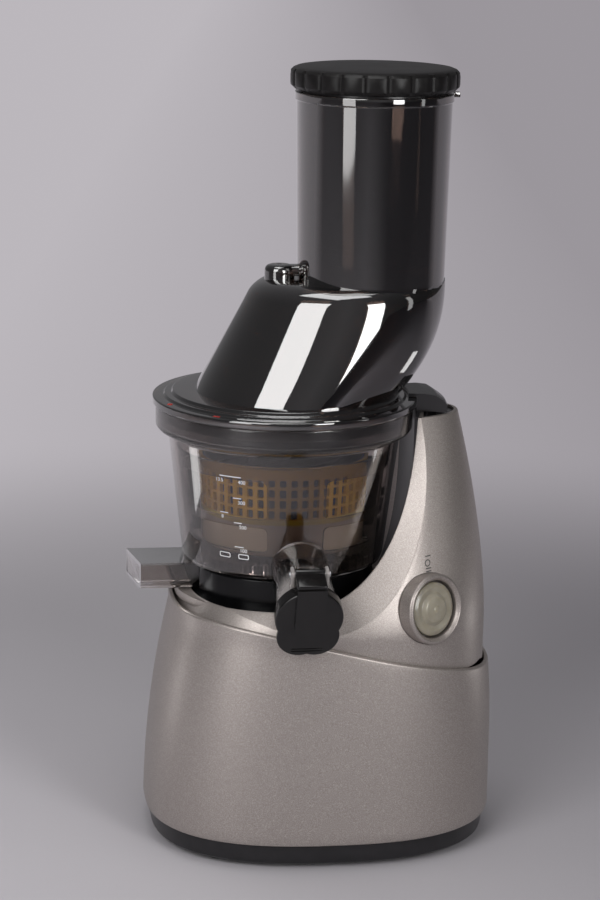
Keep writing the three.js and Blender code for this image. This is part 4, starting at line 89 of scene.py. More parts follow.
def make_camera():
    az, pitch, roll = CAMERA_TURN, CAMERA_PITCH, CAMERA_ROLL
    right = Vector((math.cos(az), math.sin(az), 0))
    away = Vector((-math.sin(az), math.cos(az), 0))
    pos = -away * CAMERA_BACK + right * CAMERA_ASIDE + Vector((0, 0, CAMERA_HEIGHT))
    fwd = away * math.cos(pitch) - Vector((0, 0, math.sin(pitch)))
    up = away * math.sin(pitch) + Vector((0, 0, math.cos(pitch)))
    cam_x = right * math.cos(roll) + up * math.sin(roll)
    cam_y = -right * math.sin(roll) + up * math.cos(roll)
    data = bpy.data.cameras.new("camera")
    data.sensor_fit = "VERTICAL"
    data.sensor_height = SENSOR
    data.lens = FOCAL_PIXELS * SENSOR / FRAME_PIXELS
    data.clip_start = 0.05
    data.clip_end = 30
    cam = add("camera", data)
    m = Matrix((cam_x, cam_y, -fwd)).transposed().to_4x4()
    m.translation = Vector((AXIS[0], AXIS[1], 0)) + pos * MM
    cam.matrix_world = m
    SCENE.camera = cam


make_camera()


# Mesh helpers
def make(verts, faces, where=None):
    me = bpy.data.meshes.new("tmp")
    me.from_pydata([tuple(v) for v in verts], [], faces)
    bm = bmesh.new()
    bm.from_mesh(me)
    bmesh.ops.remove_doubles(bm, verts=bm.verts, dist=1e-5)
    bmesh.ops.recalc_face_normals(bm, faces=bm.faces)
    bm.to_mesh(me)
    bm.free()
    if where is not None:
        me.transform(where)
    return add("tmp", me)


def rounded(points, steps):
    """Rounds the corners of an outline where a third number gives a radius."""
    out = []
    n = len(points)
    for i, p in enumerate(points):
        r = p[2] if len(p) > 2 else 0
        if r <= 0:
            out.append((p[0], p[1]))
            continue
        a, b, c = (Vector(q[:2]) for q in (points[i - 1], p, points[(i + 1) % n]))
        u, v = a - b, c - b
        cut = min(r / max(math.tan(u.angle(v) / 2), 1e-3), 0.48 * u.length, 0.48 * v.length)
        s, e = b + u.normalized() * cut, b + v.normalized() * cut
        for k in range(steps + 1):
            t = k / steps
            q = s * (1 - t) ** 2 + b * 2 * t * (1 - t) + e * t * t
            out.append((q.x, q.y))
    return out


def revolve(profile, sides, steps=5, where=None):
    profile = rounded(profile, steps)
    verts, rows = [], []
    for r, z in profile:
        if r < 1e-6:
            verts.append((0, 0, z))
            rows.append([len(verts) - 1] * sides)
        else:
            first = len(verts)
            verts += [polar(r, TAU * i / sides, z) for i in range(sides)]
            rows.append(list(range(first, first + sides)))
    faces = []
    on_axis = profile[0][0] < 1e-6 and profile[-1][0] < 1e-6
    for j in range(len(rows) - (1 if on_axis else 0)):
        a, b = rows[j], rows[(j + 1) % len(rows)]
        for i in range(sides):
            k = (i + 1) % sides
            loop = []
            for v in (a[i], a[k], b[k], b[i]):
                if v not in loop:
                    loop.append(v)
            if len(loop) > 2:
                faces.append(loop)
    return make(verts, faces, where)


def disc(radius, bottom, top, sides, edge=0.0, where=None):
    return revolve([(0, bottom), (radius, bottom, edge), (radius, top, edge), (0, top)], sides, 4, where)


def ring(inner, outer, bottom, top, sides, edge=0.0, where=None):
    return revolve([(inner, bottom, edge), (outer, bottom, edge), (outer, top, edge), (inner, top, edge)],
                   sides, 3, where)


def block(x0, x1, y0, y1, z0, z1, bevel=0.0, where=None):
    v = [(x, y, z) for x in (x0, x1) for y in (y0, y1) for z in (z0, z1)]
    f = [(0, 1, 3, 2), (4, 6, 7, 5), (0, 4, 5, 1), (2, 3, 7, 6), (0, 2, 6, 4), (1, 5, 7, 3)]
    ob = make(v, f)
    if bevel:
        bm = bmesh.new()
        bm.from_mesh(ob.data)
        bmesh.ops.bevel(bm, geom=bm.edges[:], offset=bevel, segments=4, profile=0.5, affect="EDGES")
        bm.to_mesh(ob.data)
        bm.free()
    if where is not None:
        ob.data.transform(where)
    return ob


def loft(rings):
    n = len(rings[0])
    verts = [p for r in rings for p in r]
    faces = []
    for level in range(len(rings) - 1):
        for i in range(n):
            a, b = level * n + i, level * n + (i + 1) % n
            faces.append((a, b, b + n, a + n))
    for r, base in ((rings[0], 0), (rings[-1], (len(rings) - 1) * n)):
        centre = sum((Vector(p) for p in r), Vector()) / n
        verts.append(centre)
        faces += [(len(verts) - 1, base + i, base + (i + 1) % n) for i in range(n)]
    return make(verts, faces)


def prism(outline, bottom, top, steps=5, where=None):
    pts = rounded(outline, steps)
    n = len(pts)
    verts = [(x, y, z) for z in (bottom, top) for x, y in pts]
    faces = [tuple(range(n)), tuple(range(n, 2 * n))]
    faces += [(i, (i + 1) % n, n + (i + 1) % n, n + i) for i in range(n)]
    return make(verts, faces, where)


def evaluated(ob):
    return bpy.data.meshes.new_from_object(ob.evaluated_get(bpy.context.evaluated_depsgraph_get()))


def combine(base, operation, *others):
    for o in others:
        m = base.modifiers.new("b", "BOOLEAN")
        m.operation = operation
        m.object = o
        m.solver = "MANIFOLD"
    me = evaluated(base)
    base.modifiers.clear()
    if len(me.polygons) == 0:
        raise RuntimeError("empty boolean result")
    base.data = me
    for o in others:
        bpy.data.objects.remove(o)
    return base


def cut(base, *others):
    return combine(base, "DIFFERENCE", *others)


def join(base, *others):
    return combine(base, "UNION", *others)


def keep(base, *others):
    return combine(base, "INTERSECT", *others)


def piece(ob, name, material, body, replaces=(), angle=32):
    ob.data.transform(TO_FRAME)
    ob.name = ob.data.name = name
    ob.data.materials.clear()
    ob.data.materials.append(material)
    ob.data.shade_smooth()
    ob.data.set_sharp_from_angle(angle=rad(angle))
    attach(ob, body)
    if replaces:
        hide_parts(*replaces)


# Materials
def shader(name, colour, rough, metal=0.0, **more):
    m = bpy.data.materials.new(name)
    m.use_nodes = True
    p = m.node_tree.nodes["Principled BSDF"]
    p.inputs["Base Color"].default_value = (*colour, 1)
    p.inputs["Roughness"].default_value = rough
    p.inputs["Metallic"].default_value = metal
    for key, value in more.items():
        p.inputs[key.replace("_", " ")].default_value = value
    return m, m.node_tree, p


def plug(source, node, key):
    node.id_data.links.new(source, node.inputs[key])


def span(tree, source, low, high, to_low=0.0, to_high=1.0, curve="LINEAR"):
    """A value carried from one range to another."""
    r = tree.nodes.new("ShaderNodeMapRange")
    r.interpolation_type = curve
    for key, value in (("From Min", low), ("From Max", high), ("To Min", to_low), ("To Max", to_high)):
        r.inputs[key].default_value = value
    plug(source, r, "Value")
    return r.outputs[0]


def maths(tree, operation, *sources, kind="ShaderNodeMath"):
    """A maths node, fed by sockets and plain numbers."""
    n = tree.nodes.new(kind)
    n.operation = operation
    for i, source in enumerate(sources):
        if isinstance(source, bpy.types.NodeSocket):
            plug(source, n, i)
        else:
            n.inputs[i].default_value = source
    return n.outputs["Value"]


def place(tree, kind="Object"):
    """The place on the object, whole and split into X, Y and Z."""
    coord = tree.nodes.new("ShaderNodeTexCoord").outputs[kind]
    split = tree.nodes.new("ShaderNodeSeparateXYZ")
    plug(coord, split, 0)
    return coord, split.outputs


def grain(tree, scale, detail=3.0, kind="ShaderNodeTexNoise"):
    n = tree.nodes.new(kind)
    n.inputs["Scale"].default_value = scale
    if "Detail" in n.inputs:
        n.inputs["Detail"].default_value = detail
    plug(tree.nodes.new("ShaderNodeTexCoord").outputs["Object"], n, "Vector")
    return n.outputs[0]


def ramp(tree, source, stops):
    r = tree.nodes.new("ShaderNodeValToRGB")
    e = r.color_ramp.elements
    while len(e) < len(stops):
        e.new(0.5)
    for item, (pos, c) in zip(e, stops):
        item.position = pos
        item.color = (*c, 1)
    plug(source, r, "Fac")
    return r.outputs["Color"]


def rough_from(tree, p, scale, a, b):
    plug(span(tree, grain(tree, scale, 4.0), 0.0, 1.0, a, b), p, "Roughness")


def bump_from(tree, p, scale, strength, distance, detail=3.0):
    b = tree.nodes.new("ShaderNodeBump")
    b.inputs["Strength"].default_value = strength
    b.inputs["Distance"].default_value = distance
    plug(grain(tree, scale, detail), b, "Height")
    plug(b.outputs[0], p, "Normal")


def colour_from(tree, p, source, stops):
    plug(ramp(tree, source, stops), p, "Base Color")


def tint_from(tree, p, scale, a, b):
    colour_from(tree, p, grain(tree, scale), [(0.35, a), (0.65, b)])


def metallic_paint():
    m, t, p = shader("champagne_metallic_paint", (0.40, 0.355, 0.33), 0.42, 0.72, Coat_Weight=0.15,
                     Coat_Roughness=0.25)
    colour_from(t, p, grain(t, 2600, 2.0),
                [(0.30, (0.30, 0.262, 0.242)), (0.52, (0.385, 0.345, 0.322)), (0.74, (0.60, 0.55, 0.52))])
    bump_from(t, p, 3000, 0.10, 0.00003, 2.0)
    rough_from(t, p, 25, 0.38, 0.46)
    return m


def gloss_black(name, colour, rough):
    m, t, p = shader(name, colour, rough[0])
    rough_from(t, p, 60, *rough)
    bump_from(t, p, 900, 0.03, 0.00004)
    return m


def satin(name, a, b, rough, scale=900, strength=0.12, **more):
    m, t, p = shader(name, a, rough[0], **more)
    tint_from(t, p, 180, a, b)
    rough_from(t, p, 90, *rough)
    bump_from(t, p, scale, strength, 0.00006)
    return m


def clear(name, colour, rough, ior, **more):
    m, t, p = shader(name, colour, rough, Transmission_Weight=1.0, IOR=ior, **more)
    rough_from(t, p, 40, rough, rough + 0.05)
    bump_from(t, p, 120, 0.04, 0.0001, 2.0)
    return m


def brushed(name, colour, rough, scale=(900, 900, 30)):
    m, t, p = shader(name, colour, rough, 1.0)
    mapping = t.nodes.new("ShaderNodeMapping")
    mapping.inputs["Scale"].default_value = scale
    n = t.nodes.new("ShaderNodeTexNoise")
    n.inputs["Scale"].default_value = 1.0
    plug(t.nodes.new("ShaderNodeTexCoord").outputs["Object"], mapping, "Vector")
    plug(mapping.outputs[0], n, "Vector")
    plug(span(t, n.outputs[0], 0.0, 1.0, rough - 0.08, rough + 0.14), p, "Roughness")
    colour_from(t, p, n.outputs[0], [(0.3, [v * 0.8 for v in colour]), (0.7, colour)])
    return m


SILVER = metallic_paint()
LUG_BLACK = gloss_black("lug_black_plastic", (0.016, 0.015, 0.016), (0.14, 0.24))
SKIRT = satin("skirt_black_plastic", (0.008, 0.0075, 0.0085), (0.012, 0.011, 0.0125), (0.26, 0.36))
SEAT = satin("seat_black_plastic", (0.0025, 0.0025, 0.003), (0.004, 0.004, 0.0045), (0.16, 0.26), 900, 0.05,
             Specular_IOR_Level=0.22)
LINER = satin("liner_grey_plastic", (0.032, 0.029, 0.031), (0.046, 0.042, 0.045), (0.28, 0.40))
PUSHER = satin("pusher_dark_plastic", (0.014, 0.013, 0.014), (0.022, 0.020, 0.021), (0.22, 0.34))
FRAME_GREY = clear("brush_frame_resin", (0.60, 0.56, 0.55), 0.05, 1.35)
AUGER_DARK = satin("auger_resin", (0.020, 0.018, 0.018), (0.030, 0.027, 0.026), (0.28, 0.40))
RUBBER = satin("black_rubber", (0.014, 0.014, 0.015), (0.024, 0.024, 0.025), (0.62, 0.80), 1600, 0.25)
NYLON = satin("white_nylon", (0.62, 0.59, 0.53), (0.74, 0.71, 0.65), (0.35, 0.48))
BOARD = satin("board_green", (0.012, 0.09, 0.035), (0.02, 0.13, 0.05), (0.35, 0.5))
DARK_BOX = satin("inner_dark_plastic", (0.025, 0.025, 0.028), (0.04, 0.04, 0.043), (0.4, 0.55))
STEEL = brushed("machined_steel", (0.55, 0.56, 0.58), 0.28)
COPPER = brushed("copper_winding", (0.62, 0.27, 0.12), 0.34, (200, 200, 1500))
CAP_BLACK = satin("cap_black_plastic", (0.004, 0.0036, 0.0036), (0.007, 0.0062, 0.0062), (0.12, 0.20),
                  900, 0.04)
GRIP_BLACK = satin("grip_black_plastic", (0.006, 0.0055, 0.0055), (0.010, 0.009, 0.009), (0.30, 0.40),
                   900, 0.05, Specular_IOR_Level=0.22)


def bowl_resin():
    """Smoky clear wall under a darker frosted rim, and a spout made hazier so that it reads lighter, which is
    painted light.
    """
    wall, rim = (0.66, 0.62, 0.60), (0.30, 0.275, 0.27)
    spout_from, spout_to, rim_from, rim_to = -0.068, -0.078, 0.2405, 0.2435
    m, t, p = shader("smoky_bowl_resin", wall, 0.02, Coat_Weight=0.5, Coat_Roughness=0.03, Coat_IOR=1.6)
    split = place(t)[1]
    # Painted light: the spout lets less light through and shows more of its own pale colour, so it looks lit.
    plug(span(t, split["Y"], spout_to, spout_from, 0.62, 1.0), p, "Transmission Weight")
    height = span(t, split["Z"], rim_from, rim_to)
    colour_from(t, p, height, [(0.0, wall), (1.0, rim)])
    frost = span(t, height, 0.0, 1.0, 0.015, 0.24)
    plug(maths(t, "MULTIPLY_ADD", grain(t, 300, 2.0), 0.03, frost), p, "Roughness")
    bump_from(t, p, 120, 0.04, 0.0001, 2.0)
    return m


SMOKE = bowl_resin()
SMOKE_DARK = clear("smoky_hopper_resin", (0.085, 0.056, 0.044), 0.02, 1.6, Coat_Weight=1.0,
                   Coat_Roughness=0.03, Coat_IOR=2.0)


def banded_resin():
    """Amber cage whose lower band is frosted beige, under a bright ring."""
    foot, top = 0.176, 0.227
    beige, amber, bright = (0.86, 0.72, 0.58), (1.0, 0.56, 0.03), (1.0, 0.74, 0.10)
    m, t, p = shader("amber_resin", amber, 0.2, Transmission_Weight=0.25, IOR=1.45)
    height = span(t, place(t)[1]["Z"], foot, top)
    colour_from(t, p, height, [(0.0, beige), (0.36, beige), (0.375, bright), (0.42, bright), (0.435, amber),
                               (1.0, amber)])
    bump_from(t, p, 400, 0.06, 0.00006)
    rough_from(t, p, 70, 0.12, 0.24)
    return m


def sieve_metal():
    m, t, p = shader("fine_sieve_steel", (0.03, 0.022, 0.018), 0.5, 0.35)
    holes = grain(t, 1400, 0, "ShaderNodeTexVoronoi")
    colour_from(t, p, holes, [(0.25, (0.003, 0.002, 0.002)), (0.45, (0.045, 0.033, 0.026))])
    rough_from(t, p, 60, 0.45, 0.60)
    return m


AMBER = banded_resin()
SIEVE = sieve_metal()
WHITE_PRINT = satin("white_print", (0.80, 0.80, 0.80), (0.88, 0.88, 0.88), (0.5, 0.6))
GREY_PRINT = satin("grey_print", (0.045, 0.042, 0.042), (0.06, 0.056, 0.056), (0.5, 0.6))
RED_PRINT = satin("red_print", (0.42, 0.02, 0.015), (0.5, 0.03, 0.02), (0.4, 0.5))


def silicone():
    m, t, p = shader("cream_silicone", (0.30, 0.275, 0.215), 0.30, Subsurface_Weight=0.35,
                     Subsurface_Radius=(0.6, 0.5, 0.3), Subsurface_Scale=0.004, Coat_Weight=0.4,
                     Coat_Roughness=0.15)
    tint_from(t, p, 150, (0.27, 0.245, 0.19), (0.34, 0.31, 0.245))
    bump_from(t, p, 700, 0.05, 0.00005)
    return m


CREAM = silicone()

# Sizes, in millimetres
BODY_LEFT, BODY_RIGHT, BODY_DEPTH = 80.5, 124.0, 85.5
SHELL_BOTTOM, SEAM, SEAM_RISE, SEAM_SLOPE = 14.5, 134.8, 7.7, 0.24
WALL = 2.4
TOWER = 251.0
DISH_Z, DISH_R, DISH_WALL_R = 148.5, 64.5, 62.8
RECESS_R = 78.2
SCOOP_START, SCOOP_END, SCOOP_POWER = (rad(19), rad(21)), (rad(103.7), rad(89.3)), (3.14, 3.06)
DISH_FLOOR = 143.2
BOWL_FLOOR, BOWL_FOOT, BOWL_WALL_TOP, BOWL_TOP = 163.6, 168.6, 239, 255.4
BOWL_FOOT_R, BOWL_WALL_R = 58.6, 67
BRUSH_LOW, BRUSH_TOP = 166.9, 232
STRAINER_LOW, STRAINER_TOP = 176, 227
LID_TOP, HOPPER_SHOULDER, HOPPER_TOP = 263.6, 319, 328
TUBE_X, TUBE_FOOT_R, TUBE_TOP = 48.6, 42.2, 434
PUSHER_LOW, PUSHER_TOP = 338, 435.2
ABOVE = 527  # above everything, for cuts that go right through


def on_oval(size, i, sides):
    """Point i of an oval with a left end, a right end, half a depth and a power."""
    left, right, half, n = size
    c, s = math.cos(TAU * i / sides), math.sin(TAU * i / sides)
    return ((left + right) / 2 + (right - left) / 2 * math.copysign(abs(c) ** (2 / n), c),
            half * math.copysign(abs(s) ** (2 / n), s))


def oval(size, z, sides):
    return [Vector((*on_oval(size, i, sides), z)) for i in range(sides)]


def lower_size(z, inset=0.0):
    rise = clamp(z / SEAM)
    late = clamp(2 * rise - 0.9, 0, 1.1)
    edge = clamp(1 - (z - SHELL_BOTTOM) / 3) ** 2
    i = inset + edge * 1.5
    return (-BODY_LEFT + 14.5 * rise ** 2.2 + i, BODY_RIGHT - 5 * late ** 2 - i,
            BODY_DEPTH - 5.5 * rise ** 2 - i, 2.5)


def upper_size(z, inset=0.0):
    rise = clamp((z - SEAM) / (TOWER - SEAM))
    return (lerp(-63.2, 2, rise) + inset, lerp(118.6, 101.5, rise ** 1.7) - inset,
            lerp(77.2, 30, rise ** 1.35) - inset, lerp(2.5, 2.0, rise))


def seam(x):
    """The slanting joint, with the soft bend at its level left end."""
    level = SEAM + SEAM_RISE
    if x > 0:
        return SEAM - SEAM_SLOPE * x
    a, b, c = -59.2, -32.08, 0.0
    if x < a:
        return level
    lo, hi = 0.0, 1.0
    for _ in range(24):
        t = (lo + hi) / 2
        q = (1 - t) ** 2 * a + 2 * t * (1 - t) * b + t * t * c
        lo, hi = (t, hi) if q < x else (lo, t)
    t = (lo + hi) / 2
    return (1 - t) ** 2 * level + 2 * t * (1 - t) * level + t * t * SEAM


# Lower shell
def lower_shell():
    sides = 240
    verts, faces = [], []
    for i in range(sides):
        top = SEAM
        for _ in range(8):
            top = seam(on_oval(lower_size(top), i, sides)[0])
        prof = [(a, SHELL_BOTTOM + b) for a, b in ((1.9, 0), (1.2, 0.15), (0.5, 0.6), (0.0, 1.3))]
        prof += [(0.0, lerp(SHELL_BOTTOM + 3, top - 1.4, k / 22)) for k in range(23)]
        for k in range(1, 7):
            a = rad(90) * k / 6
            prof.append((1.2 * (1 - math.cos(a)), top - 1.4 + 1.2 * math.sin(a) + 0.2 * k / 6))
        prof += [(WALL - 0.4, top), (WALL, top - 0.4), (WALL, top - 6), (WALL, 90), (WALL, SHELL_BOTTOM)]
        count = len(prof)
        for inset, z in prof:
            verts.append((*on_oval(lower_size(z, inset), i, sides), z))
    for a in range(0, len(verts), count):
        b = (a + count) % len(verts)
        faces += [(a + j, a + (j + 1) % count, b + (j + 1) % count, b + j) for j in range(count)]
    return make(verts, faces)


gland_hole = disc(7.3, -12, 12, 48, 0, move(BODY_RIGHT / 6, BODY_DEPTH, 34) @ turn(90, "X"))
shell = cut(lower_shell(), gland_hole)
piece(shell, "housing_lower", SILVER, "base", ["lower_shell"])


# Upper body
def recess_r(z):
    rise = clamp((z - DISH_Z) / (TOWER - DISH_Z))
    return DISH_R + (RECESS_R - DISH_R) * (1 - (1 - rise) ** 3.4)


def ray_out(angle, z):
    left, right, half, n = upper_size(z)
    mid, a = (left + right) / 2, (right - left) / 2
    c, s = math.cos(angle), math.sin(angle)
    lo, hi = mid * c, 320.0
    for _ in range(40):
        r = (lo + hi) / 2
        inside = abs((r * c - mid) / a) ** n + abs(r * s / half) ** n <= 1
        lo, hi = (r, hi) if inside else (lo, r)
    return (lo + hi) / 2


def inner_r(angle):
    start, end = SCOOP_START[0], SCOOP_END[0]
    close = clamp((end - abs(angle)) / (end - start))
    return recess_r(lerp(DISH_Z, TOWER, close ** 3))


OUTLINE = {}  # distance from the axis to the housing's outline at the seam, by angle


def scoop_z(radius, angle):
    """Height of the scooped bevel between the recess and the outside."""
    angle = abs(angle)
    key = round(angle, 6)
    if key not in OUTLINE:
        OUTLINE[key] = ray_out(angle, SEAM)
    inner = inner_r(angle)
    outer = max(OUTLINE[key], inner + 2.8)
    share = clamp((radius - inner) / (outer - inner), 0, 1.5)
    crease = max(seam(outer * math.cos(angle)), SEAM) + 1.4
    floor = lerp(DISH_Z, crease, share)
    start, end, power = (lerp(*pair, share) for pair in (SCOOP_START, SCOOP_END, SCOOP_POWER))
    along = clamp((angle - start) / (end - start))
    if along <= 0:
        return TOWER
    return min(TOWER, floor + (TOWER + 1 - floor) * (1 - along) ** power)


def upper_body():
    fine = [rad(60) * k / 96 for k in range(97)]
    coarse = [rad(60) + rad(120) * (k + 1) / 60 for k in range(60)]
    half = fine + coarse
    angles = [-a for a in reversed(half[1:-1])] + half
    profiles = []
    for th in angles:
        lo, hi = SEAM, TOWER
        for _ in range(30):
            z = (lo + hi) / 2
            lo, hi = (z, hi) if z < scoop_z(ray_out(th, z), th) else (lo, z)
        zc = min(TOWER, (lo + hi) / 2)
        rc = ray_out(th, zc)
        zb = seam(rc * math.cos(th)) - 7
        wall = [(ray_out(th, z), z) for z in (lerp(zb, zc, k / 16) for k in range(16))]
        ri = min(inner_r(th), rc - 0.5)
        slope = [(r, scoop_z(r, th)) for r in (lerp(rc, ri, k / 12) for k in range(1, 12))]
        zi = scoop_z(ri, th)
        corner = rounded([wall[-1], (rc, zc, 1.6), slope[0]], 5)[1:-1]
        below = (recess_r(max(DISH_Z, zi - 3)), max(DISH_Z - 1, zi - 3))
        corner2 = rounded([slope[-1], (ri, zi, 1.0), below], 4)[1:-1]
        down = []
        for k in range(1, 9):
            z = lerp(zi - 1.2, DISH_Z, k / 8) if zi - 1.2 > DISH_Z else DISH_Z - 0.02 * k
            down.append((min(recess_r(z), corner2[-1][0]), z))
        tail = [(DISH_WALL_R, DISH_Z - 0.6), (DISH_WALL_R, DISH_FLOOR), (30, DISH_FLOOR)]
        profiles.append(wall + corner + slope + corner2 + down + tail)
    n = len(profiles[0])
    verts, faces = [], []
    for th, prof in zip(angles, profiles):
        verts += [polar(r, th, z) for r, z in prof]
    total = len(verts)
    spokes = [(a, (a + n) % total) for a in range(0, total, n)]
    for a, b in spokes:
        faces += [(a + j, b + j, b + j + 1, a + j + 1) for j in range(n - 1)]
    for a, b in spokes:
        faces += [(total, a, b), (total + 1, a + n - 1, b + n - 1)]
    return make(verts + [(0, 0, 100), (0, 0, DISH_FLOOR)], faces)


def scoop_cutter(grow, half):
    """The same scoop as a coarse cutter, for the housing's hollow."""
    pos = [math.pi * (i / half) ** 1.7 for i in range(1, half + 1)]
    wheel = sorted([-a for a in pos[:-1]] + [0] + pos)
    stations = [s * DISH_R for s in (0.75, 1, 1.13, 1.28, 1.45, 2.6)]
    top = TOWER + 12
    n = len(wheel)
    verts = []

    def height(r, a):
        z = scoop_z(r, a)
        return TOWER + 6 if z >= TOWER - 0.01 else z - grow
    for r in stations:
        verts += [polar(r, a, height(r, a)) for a in wheel]
    verts += [polar(stations[-1], a, top) for a in wheel]
    verts += [(0, 0, DISH_Z - grow), (0, 0, top)]
    faces = []
    for i in range(n):
        k = (i + 1) % n
        faces.append((len(verts) - 2, k, i))
        for s in range(len(stations)):
            faces.append((s * n + i, s * n + k, (s + 1) * n + k, (s + 1) * n + i))
        faces.append((len(verts) - 1, len(stations) * n + i, len(stations) * n + k))
    recess = [(0, DISH_Z - grow), (recess_r(DISH_Z) + grow, DISH_Z - grow)]
    levels = [lerp(DISH_Z, TOWER, s) for s in (0.08, 0.2, 0.45, 1)]
    recess += [(recess_r(z) + grow, z) for z in levels]
    recess += [(RECESS_R + grow, top), (0, top)]
    return join(make(verts, faces), revolve(recess, 96))


# Place of the switch, whose own Z axis points out of the housing
SWITCH = move(76.5, -66.5, 149.5) @ turn(33, "Z") @ turn(90 - 7, "X")
POCKET_TOP = TOWER - 3.8


def tongue_groove(rear_only=False):
    y0 = 0 if rear_only else -88 * math.sin(rad(5)) - 0.5
    return keep(ring(82.5, 89, POCKET_TOP + 1.3, TOWER + 6, 160), block(0, 203, y0, 101.5, 0, ABOVE))


def housing_upper():
    body = upper_body()
    inner = loft([oval(upper_size(z, WALL), z, 96)
                  for z in (93, SEAM, SEAM + 14, 178, 209, POCKET_TOP - WALL)])
    hollow = cut(inner, join(scoop_cutter(2.8, 24), disc(DISH_WALL_R + WALL, 140.4, TOWER, 96)))
    cup = keep(disc(22.9, -6.4, 20, 64, 0, SWITCH),
               loft([oval(upper_size(z), z, 96) for z in (99, SEAM, 149, 160, 172, 185, 200, 225, 250)]))
    body = join(cut(body, hollow), cup)
    pocket = revolve([(0, -4.4), (20.5, -4.4), (20.5, 40), (0, 40)], 96, 4, SWITCH)
    window = disc(8, -40, 10, 48, 0, SWITCH)
    top = cut(loft([oval(upper_size(TOWER, 2.2), z, 128) for z in (POCKET_TOP, TOWER + 1)]),
              disc(RECESS_R + 2.2, 0, ABOVE, 160))
    return cut(body, pocket, window, top, tongue_groove(True), disc(11.3, 100, 200, 48))


piece(housing_upper(), "housing_upper", SILVER, "base", ["upper_body"], 30)


# Liner of the recess, on the tower's inner wall
def recess_liner():
    angles = [rad(-17.8 + 35.6 * k / 48) for k in range(49)]
    levels = [DISH_Z + 0.3 + (TOWER - 0.3 - DISH_Z - 0.3) * k / 30 for k in range(31)]
    verts = [polar(recess_r(z) - off, a, z) for off in (0.3, 2.3) for a in angles for z in levels]
    n, m = len(angles), len(levels)
    half = n * m
    faces = []
    for start in (0, half):
        for i in range(n - 1):
            faces += [(a, a + 1, a + m + 1, a + m) for a in range(start + i * m, start + i * m + m - 1)]
    for j in range(m - 1):
        faces += [(b, b + 1, half + b + 1, half + b) for b in (j, half - m + j)]
    for i in range(n - 1):
        faces += [(b, b + m, half + b + m, half + b) for b in (i * m, i * m + m - 1)]
    return make(verts, faces)


piece(recess_liner(), "tower_liner", LINER, "base", ["recess_liner"])

tower_top = cut(loft([oval(upper_size(TOWER, 2.5), z, 128) for z in (POCKET_TOP + 0.3, TOWER - 1.2)]),
                disc(RECESS_R + 2.5, 0, ABOVE, 160), tongue_groove())
piece(tower_top, "tower_insert", LUG_BLACK, "base", ["tower_top"])


# Base plate, feet and screws
def at_node(name):
    a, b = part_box(name)
    return ((a.x + b.x) / 2 - AXIS[0]) / MM, ((a.y + b.y) / 2 - AXIS[1]) / MM


def base_plate():
    outline = ((3, 4.2), (3.4, 3.2), (4.4, 2.3), (6.5, 1.9), (10, 1.8), (14.2, 1.8))
    plate = loft([oval(lower_size(SHELL_BOTTOM, inset), z, 200) for z, inset in outline])
    plate = cut(plate, loft([oval(lower_size(SHELL_BOTTOM, 7.2), z, 128) for z in (8, 20.5)]))
    places = [at_node(f"base_screw_{i}") for i in range(1, 5)]
    plate = join(plate, *[disc(5, 4, 14.5, 32, 0, move(x, y)) for x, y in places],
                 *[disc(4, 5.5, 31.7, 32, 0, move(-32 + 25 * i, 14 * j)) for i in (-1, 1) for j in (-1, 1)])
    holes = [disc(2.2, 0, 16, 24, 0, move(x, y)) for x, y in places]
    holes += [disc(3.7, 0, 5.5, 32, 0, move(x, y)) for x, y in places]
    holes += [disc(4.3, 0, 6.3, 32, 0, move(*at_node(name))) for name in FEET]
    slot = [(-1.5, -17, 1.4), (1.5, -17, 1.4), (1.5, 17, 1.4), (-1.5, 17, 1.4)]
    holes += [prism(slot, 0, 14.5, 4, move(34 + 9 * i, 0)) for i in range(5)]
    return cut(plate, *holes)


FEET = ["foot_front_left", "foot_front_right", "foot_rear_left", "foot_rear_right"]
piece(base_plate(), "base_skirt", SKIRT, "base", ["base_plate"])
for name in FEET:
    foot = revolve([(0, 0.7), (5.2, 0.7), (5.6, 0), (8.2, 0, 0.4), (9, 1, 0.4), (9, 2.7, 0.3), (4, 2.7),
                    (4, 6, 0.5), (0, 6)], 64, 4, move(*at_node(name)))
    piece(foot, "pad_" + name, RUBBER, "base", [name])
for i in range(1, 5):
    x, y = at_node(f"base_screw_{i}")
    screw = revolve([(0, 3), (3.1, 3, 0.5), (3.4, 3.6), (3.4, 5.2), (1.9, 5.2), (1.9, 22, 0.8), (0, 23)],
                    40, 3, move(x, y))
    screw = cut(screw, *[block(x - a, x + a, y - b, y + b, 2, 4.4) for a, b in ((2.1, 0.4), (0.4, 2.1))])
    piece(screw, f"screw_{i}", STEEL, "base", [f"base_screw_{i}"])

# Switch
bezel = revolve([(16.6, -4.1), (20.2, -4.1), (20.2, 4.4, 1.8), (18.4, 5.7, 1.4), (16.6, 3.4, 1.4)],
                128, 6, SWITCH)
piece(bezel, "switch_ring", SILVER, "base", ["switch_bezel"])
boot = revolve([(0, 5.9), (1.5, 5.7, 0.6), (2.1, 5.1, 0.5), (7.3, 4.7, 1.6), (9.3, 2.5, 1.2),
                (12.6, 3.5, 1.4), (15.2, 2.2, 1.2), (15.4, 0.8), (9.5, 0.8), (0, 0.8)], 96, 5, SWITCH)
piece(boot, "switch_cover", CREAM, "switch", ["switch_boot"])

# Seat and bowl, with the place of the spout, its way up with the bowl, and the cap's hinge
SPOUT = move(2.5, -97, 156.5) @ turn(90 + 22, "X")
LIFT = move(0, 0, 16.5)
HINGE = move(0, 22.5, -8.5) @ turn(90, "Y")


